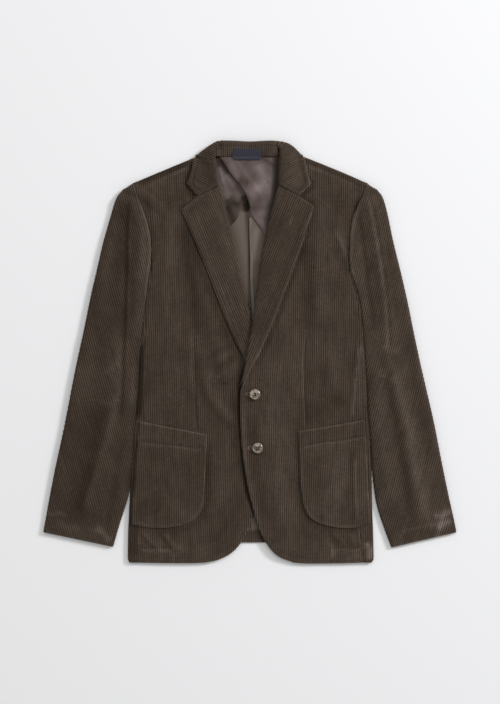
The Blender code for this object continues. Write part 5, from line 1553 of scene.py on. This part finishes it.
def pocket(name, side, height, edges, band):
    """A patch pocket with a rounded foot, a band across its mouth and topstitching round its sides."""
    grid = panel_grid(edges, lambda x, y: height(x, y) + POCKET_LIFT, 60, 110)
    plan = grid[..., :2]
    around = np.concatenate([plan[:, 0], plan[-1], plan[::-1, -1]])
    turned_top, band_seam = ridge(plan[0], 3.0, 0.4), ridge(spline(band, 80), 1.1, -0.55)
    relief = napped(name, topstitched(around, 6.0), turned_top, band_seam)
    phase = grain(plan + wobble(grid), -side * PANEL_GRAIN)
    shell(f"{name}_cloth", grid, phase, relief=relief, rounds=(FREE, FREE, FREE, FREE))


def armhole_allowance(name, line):
    """The seam allowance under the armhole seam: a strip that follows the seam."""
    lowest = 2.7  # on the back
    line = spline(line, 60)
    aside = square_to(line) * ALLOWANCE_WIDTH / 2
    plan = rows_between(line + aside, line - aside, 8)
    grid = raised(plan, np.maximum(body_height(plan[..., 0], plan[..., 1]) - LAYER, lowest))
    shell(name, grid, grain(plan, 0.0), thickness=LINING, step=3.0)


STITCH_SHARES = np.array((-1.0, -0.7, 0.0, 0.7, 1.0))  # rings of a stitch, as shares of its half length
STITCH_RADII = np.array((0.15, 0.75, 1.0, 0.75, 0.15))  # as shares of half its width
STITCH_RISES = np.array((-0.30, -0.02, 0.10, -0.02, -0.30))
STITCH_SIDES = 6


def inset(line, distance, side):
    """A line beside another at a distance, with nothing left where its corners would overlap."""
    step, tolerance = 1.5, 0.25
    line = evenly(line, max(8, int(along_of(line)[-1] / step)))
    moved = line + side * square_to(line) * distance
    apart = np.linalg.norm(moved[:, None] - line[None], axis=2).min(axis=1)
    return moved[apart > distance - tolerance]


def stitch_mesh(places, ways, ups, length, width):
    """Short rounded lengths of thread, each with its ends drawn down into the cloth."""
    around = np.linspace(0, 2 * np.pi, STITCH_SIDES, endpoint=False)
    side = np.cross(ways, ups)
    radii = STITCH_RADII * width / 2
    points = (
        places[:, None, None]
        + ways[:, None, None] * (STITCH_SHARES * length / 2)[None, :, None, None]
        + ups[:, None, None] * (STITCH_RISES[:, None] + radii[:, None] * np.sin(around))[None, :, :, None]
        + side[:, None, None] * (radii[:, None] * np.cos(around))[None, :, :, None]
    )
    faces = []
    last = (len(radii) - 1) * STITCH_SIDES
    for ring in range(0, last, STITCH_SIDES):
        for i in range(STITCH_SIDES):
            a, b = ring + i, ring + (i + 1) % STITCH_SIDES
            faces += [(a, b, b + STITCH_SIDES), (a, b + STITCH_SIDES, a + STITCH_SIDES)]
    for i in range(1, STITCH_SIDES - 1):
        faces += [(0, i + 1, i), (last, last + i, last + i + 1)]
    faces = np.array(faces)[None] + (np.arange(len(places)) * (last + STITCH_SIDES))[:, None, None]
    return points.reshape(-1, 3), faces.reshape(-1, 3)


def joined(meshes):
    """The points and faces of several meshes as one."""
    starts = np.cumsum([0] + [len(points) for points, _ in meshes])
    faces = [faces + start for (_, faces), start in zip(meshes, starts)]
    return np.concatenate([points for points, _ in meshes]), np.concatenate(faces)


def on_surface(piece, line):
    """The points of a line in the plan brought up to a piece's finished face, with the face's directions."""
    margin, upward, averaged = 4, 0.6, 6
    outer, way = surfaces[f"{piece}_cloth"]
    low, high = line.min(axis=0) - margin, line.max(axis=0) + margin
    near = (way[:, 2] > upward) & ((outer[:, :2] > low) & (outer[:, :2] < high)).all(axis=1)
    outer, way = outer[near], way[near]
    places, ups = [], []
    for point in line:
        nearest = np.argsort(((outer[:, :2] - point) ** 2).sum(axis=1))[:averaged]
        places.append((*point, np.mean(outer[nearest, 2])))
        ups.append(way[nearest].mean(axis=0))
    ups = np.array(ups)
    return np.array(places), ups / np.linalg.norm(ups, axis=1, keepdims=True)


def sew(piece, lines):
    """One piece with all the stitches along some lines of a cloth piece."""
    width = 0.6
    meshes = []
    for line in lines:
        places, ups = on_surface(piece, evenly(line, max(2, int(along_of(line)[-1] / STITCH_PITCH))))
        ways = np.gradient(places, axis=0)
        ways /= np.linalg.norm(ways, axis=1, keepdims=True)
        ups = ups - ways * (ups * ways).sum(axis=1, keepdims=True)
        ups /= np.linalg.norm(ups, axis=1, keepdims=True)
        meshes.append(stitch_mesh(places + ups * (width / 2 - STITCH_SINK), ways, ups, STITCH_LENGTH, width))
    mesh_object(f"{piece}_stitches", *joined(meshes), [thread])


def buttonhole(name, x, y):
    """A worked keyhole beside its button: an eyelet, a slit away from the button, and stitches round both.
    Eyelet and slit are near-black solids sunk into the cloth, painted shade of the open hole.
    """
    eyelet_radius, slit_start, slit_half, pitch, proud, rim = 2.9, 3.2, 1.2, 0.8, 0.6, 0.75
    eye = np.array((x, y))
    angle = np.linspace(-0.8 * np.pi, 0.8 * np.pi, 15)
    around = np.stack([np.cos(angle), np.sin(angle)], axis=1)
    bars = [(x - slit_start - pitch * i, y + side * slit_half) for side in (-1, 1) for i in range(4)]
    places, ups = on_surface("front_left", np.concatenate([eye + eyelet_radius * around, np.array(bars)]))
    ways = raised(np.concatenate([around, np.tile((0.0, 1.0), (len(bars), 1))]), 0.0)
    worked = stitch_mesh(places + (0, 0, proud), ways, ups, length=1.6, width=0.7)
    mesh_object(f"{name}_stitches", *worked, [worked_thread])
    # Eyelet and slit: near-black solids, painted shade inside the hole.
    hole_shades = []
    for place, length, width in ((eye, 4.6, 4.6), (eye - (3.8, 0), 4.6, 1.3)):
        spot, up = on_surface("front_left", np.array([place]))
        spot += (0, 0, rim - width / 2)
        hole_shades.append(stitch_mesh(spot, np.array([(1.0, 0.0, 0.0)]), up, length, width))
    mesh_object(f"{name}_slit", *joined(hole_shades), [hole_shade])


def button_thread(name, x, y):
    """Thread through the four holes of a button, in two bars."""
    from_centre, below_rim = 1.3, 0.75
    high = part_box(name)[1][2] / MM - below_rim
    places = np.array([(x, y + side * from_centre, high) for side in (-1, 1)])
    across, up = np.tile((1.0, 0.0, 0.0), (2, 1)), np.tile((0.0, 0.0, 1.0), (2, 1))
    bars = stitch_mesh(places, across, up, length=4.2, width=0.9)
    mesh_object(f"{name}_thread", *bars, [dark_thread])


def flat_panel(name, edges, height, rows, columns, **how):
    """A piece that fills four curved edges, with its threads or cords running straight down."""
    grid = panel_grid(edges, height, rows, columns)
    shell(name, grid, grain(grid, 0.0), **how)


for name, side, sleeve_table, shoulder, armhole in (
    ("right", -1, SLEEVE_RIGHT, SHOULDER_RIGHT, ARMHOLE_RIGHT),
    ("left", 1, SLEEVE_LEFT, SHOULDER_LEFT, ARMHOLE_LEFT),
):
    side_panel(f"side_panel_{name}", side)
    back(f"back_{name}", side, shoulder, armhole)
    sleeve(name, side, sleeve_table)
front(
    "front_right", -1, body_height, NECKLINE_RIGHT, LAPEL_RIGHT, FRONT_RIGHT_EDGE, HEM_RIGHT, SHOULDER_RIGHT,
    ARMHOLE_RIGHT,
)
front(
    "front_left", 1, front_left_height, NECKLINE_LEFT, LAPEL_LEFT, FRONT_LEFT_EDGE, HEM_LEFT, SHOULDER_LEFT,
    ARMHOLE_LEFT,
)
lapel("lapel_right", -1, body_height, LAPEL_RIGHT, NOTCH_RIGHT)
lapel("lapel_left", 1, front_left_height, LAPEL_LEFT, NOTCH_LEFT)
pocket("pocket_right", -1, body_height, POCKET_RIGHT, BANDS["pocket_right"])
pocket("pocket_left", 1, front_left_height, POCKET_LEFT, BANDS["pocket_left"])
collar_edges = collar()

# What shows in the neck, and the seam allowances and the hem that lie inside the body.
SMALL = (8.0, 12.0)  # the grid of a small piece's back
flat_panel(
    "collar_stand_cloth", STAND, stand_height, 12, 100, relief=napped("collar_stand"), coarse=SMALL,
)
flat_panel(
    "neck_label_cloth", LABEL, label_height, 16, 40, finish=navy, slot="label", thickness=LINING, step=1.0,
    coarse=SMALL,
)
for name, edges, height, rows, columns, finish in (
    ("lining_right", LINING_RIGHT, lining_height, 80, 30, satin),
    ("lining_left", LINING_LEFT, lining_left_height, 90, 60, satin),
    ("centre_back_binding", BINDING, lining_height, 100, 6, plain_back),
):
    flat_panel(
        f"{name}_cloth", edges, height, rows, columns, finish=finish, slot="lining", thickness=LINING,
        step=1.5, coarse=(12.0, 8.0), relief=rippled(name),
    )
flat_panel(
    "hem_turned_up", TURNED_UP, turned_up_height, 14, 60, thickness=LINING, relief=napped("hem_turned_up"),
    coarse=SMALL, rounds=(SEWN, SEWN, FREE, FREE),
)
armhole_allowance("armhole_allowance_right", (*ARMHOLE_RIGHT, (-185, 150), (-190, 120)))
armhole_allowance("armhole_allowance_left", (*ARMHOLE_LEFT, (187, 150), (195, 120)))

# Topstitching, buttonholes and button thread.
BELOW_BAND = 1.0
for piece, edge, hem, side in (
    ("front_right", FRONT_RIGHT_EDGE, HEM_RIGHT, -1),
    ("front_left", FRONT_LEFT_EDGE, HEM_LEFT, 1),
):
    line = np.concatenate([spline(edge, 90), spline(hem, 60)[1:]])
    sew(piece, [inset(line, TOPSTITCH_IN, side)])
for piece, table, notch, side in (
    ("lapel_right", LAPEL_RIGHT, NOTCH_RIGHT, 1),
    ("lapel_left", LAPEL_LEFT, NOTCH_LEFT, -1),
):
    sew(piece, [inset([notch, *(row[2:4] for row in table)], TOPSTITCH_IN, side)])
for piece, edges, side in (("pocket_right", POCKET_RIGHT, -1), ("pocket_left", POCKET_LEFT, 1)):
    inner, bottom, outer = spline(edges["inner"], 30), spline(edges["bottom"], 40), spline(edges["outer"], 30)
    around = np.concatenate([inner, bottom[1:], outer[::-1][1:]])
    mouth = spline(BANDS[piece], 40) - (0, BELOW_BAND)
    sew(piece, [inset(around, POCKET_STITCH_IN, side), mouth[2:-2]])
sew("collar", [inset(line, COLLAR_STITCH_IN, side) for line, side in zip(collar_edges, (-1, 1))])
for name, x, y, eyelet_x in BUTTONS:
    buttonhole(name.replace("button", "buttonhole"), eyelet_x, y)
    button_thread(name, x, y)
    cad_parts[name].material_slots[0].material = horn

# The solids of the pieces are hidden: their cloth shells show instead.
for name, width, length, area, held, beneath in CUTS:
    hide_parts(name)

# The floor, in metres from here on.
SPREAD = 6.0
FLOOR_DROP = 0.0004
PALE = (0.84, 0.84, 0.84)
FILL_LIGHT = 0.56
floor_mesh = bpy.data.meshes.new("floor")
corners = [(-SPREAD, -SPREAD, 0), (SPREAD, -SPREAD, 0), (SPREAD, SPREAD, 0), (-SPREAD, SPREAD, 0)]
floor_mesh.from_pydata(corners, [], [(0, 1, 2, 3)])
floor_mesh.materials.append(new_material("paper", PALE, 0.9))
floor = bpy.data.objects.new("floor", floor_mesh)
floor.location.z = -FLOOR_DROP
bpy.context.scene.collection.objects.link(floor)

scene = bpy.context.scene
scene.view_settings.view_transform = "Standard"
world = bpy.data.worlds.new("studio")
scene.world = world
world.use_nodes = True
background = world.node_tree.nodes["Background"].inputs
background["Color"].default_value = (1.0, 1.0, 1.0, 1)
background["Strength"].default_value = FILL_LIGHT


def area_light(name, place, size, power, colour=(1, 1, 1)):
    """A round soft light that faces the middle of the jacket."""
    light = bpy.data.lights.new(name, "AREA")
    light.shape = "DISK"
    light.size = size
    light.energy = power
    light.color = colour
    thing = bpy.data.objects.new(name, light)
    thing.location = place
    thing.rotation_euler = Vector(place).to_track_quat("Z", "Y").to_euler()
    scene.collection.objects.link(thing)


area_light("key", (4.6, 2.6, 3.0), 1.4, 240, (0.98, 0.985, 1.03))
area_light("top", (0.2, 3.4, 5.0), 3.0, 66)

CAMERA_HEIGHT = 3.0
VIEW_HEIGHT = 1.3024  # how much of the floor shows from the top of the picture to its foot
SENSOR_MM = 36.0
camera = bpy.data.objects.new("camera", bpy.data.cameras.new("camera"))
camera.location = (0, 0, CAMERA_HEIGHT)
camera.data.sensor_fit = "VERTICAL"
camera.data.sensor_height = SENSOR_MM
camera.data.lens = SENSOR_MM * CAMERA_HEIGHT / VIEW_HEIGHT
scene.collection.objects.link(camera)
scene.camera = camera
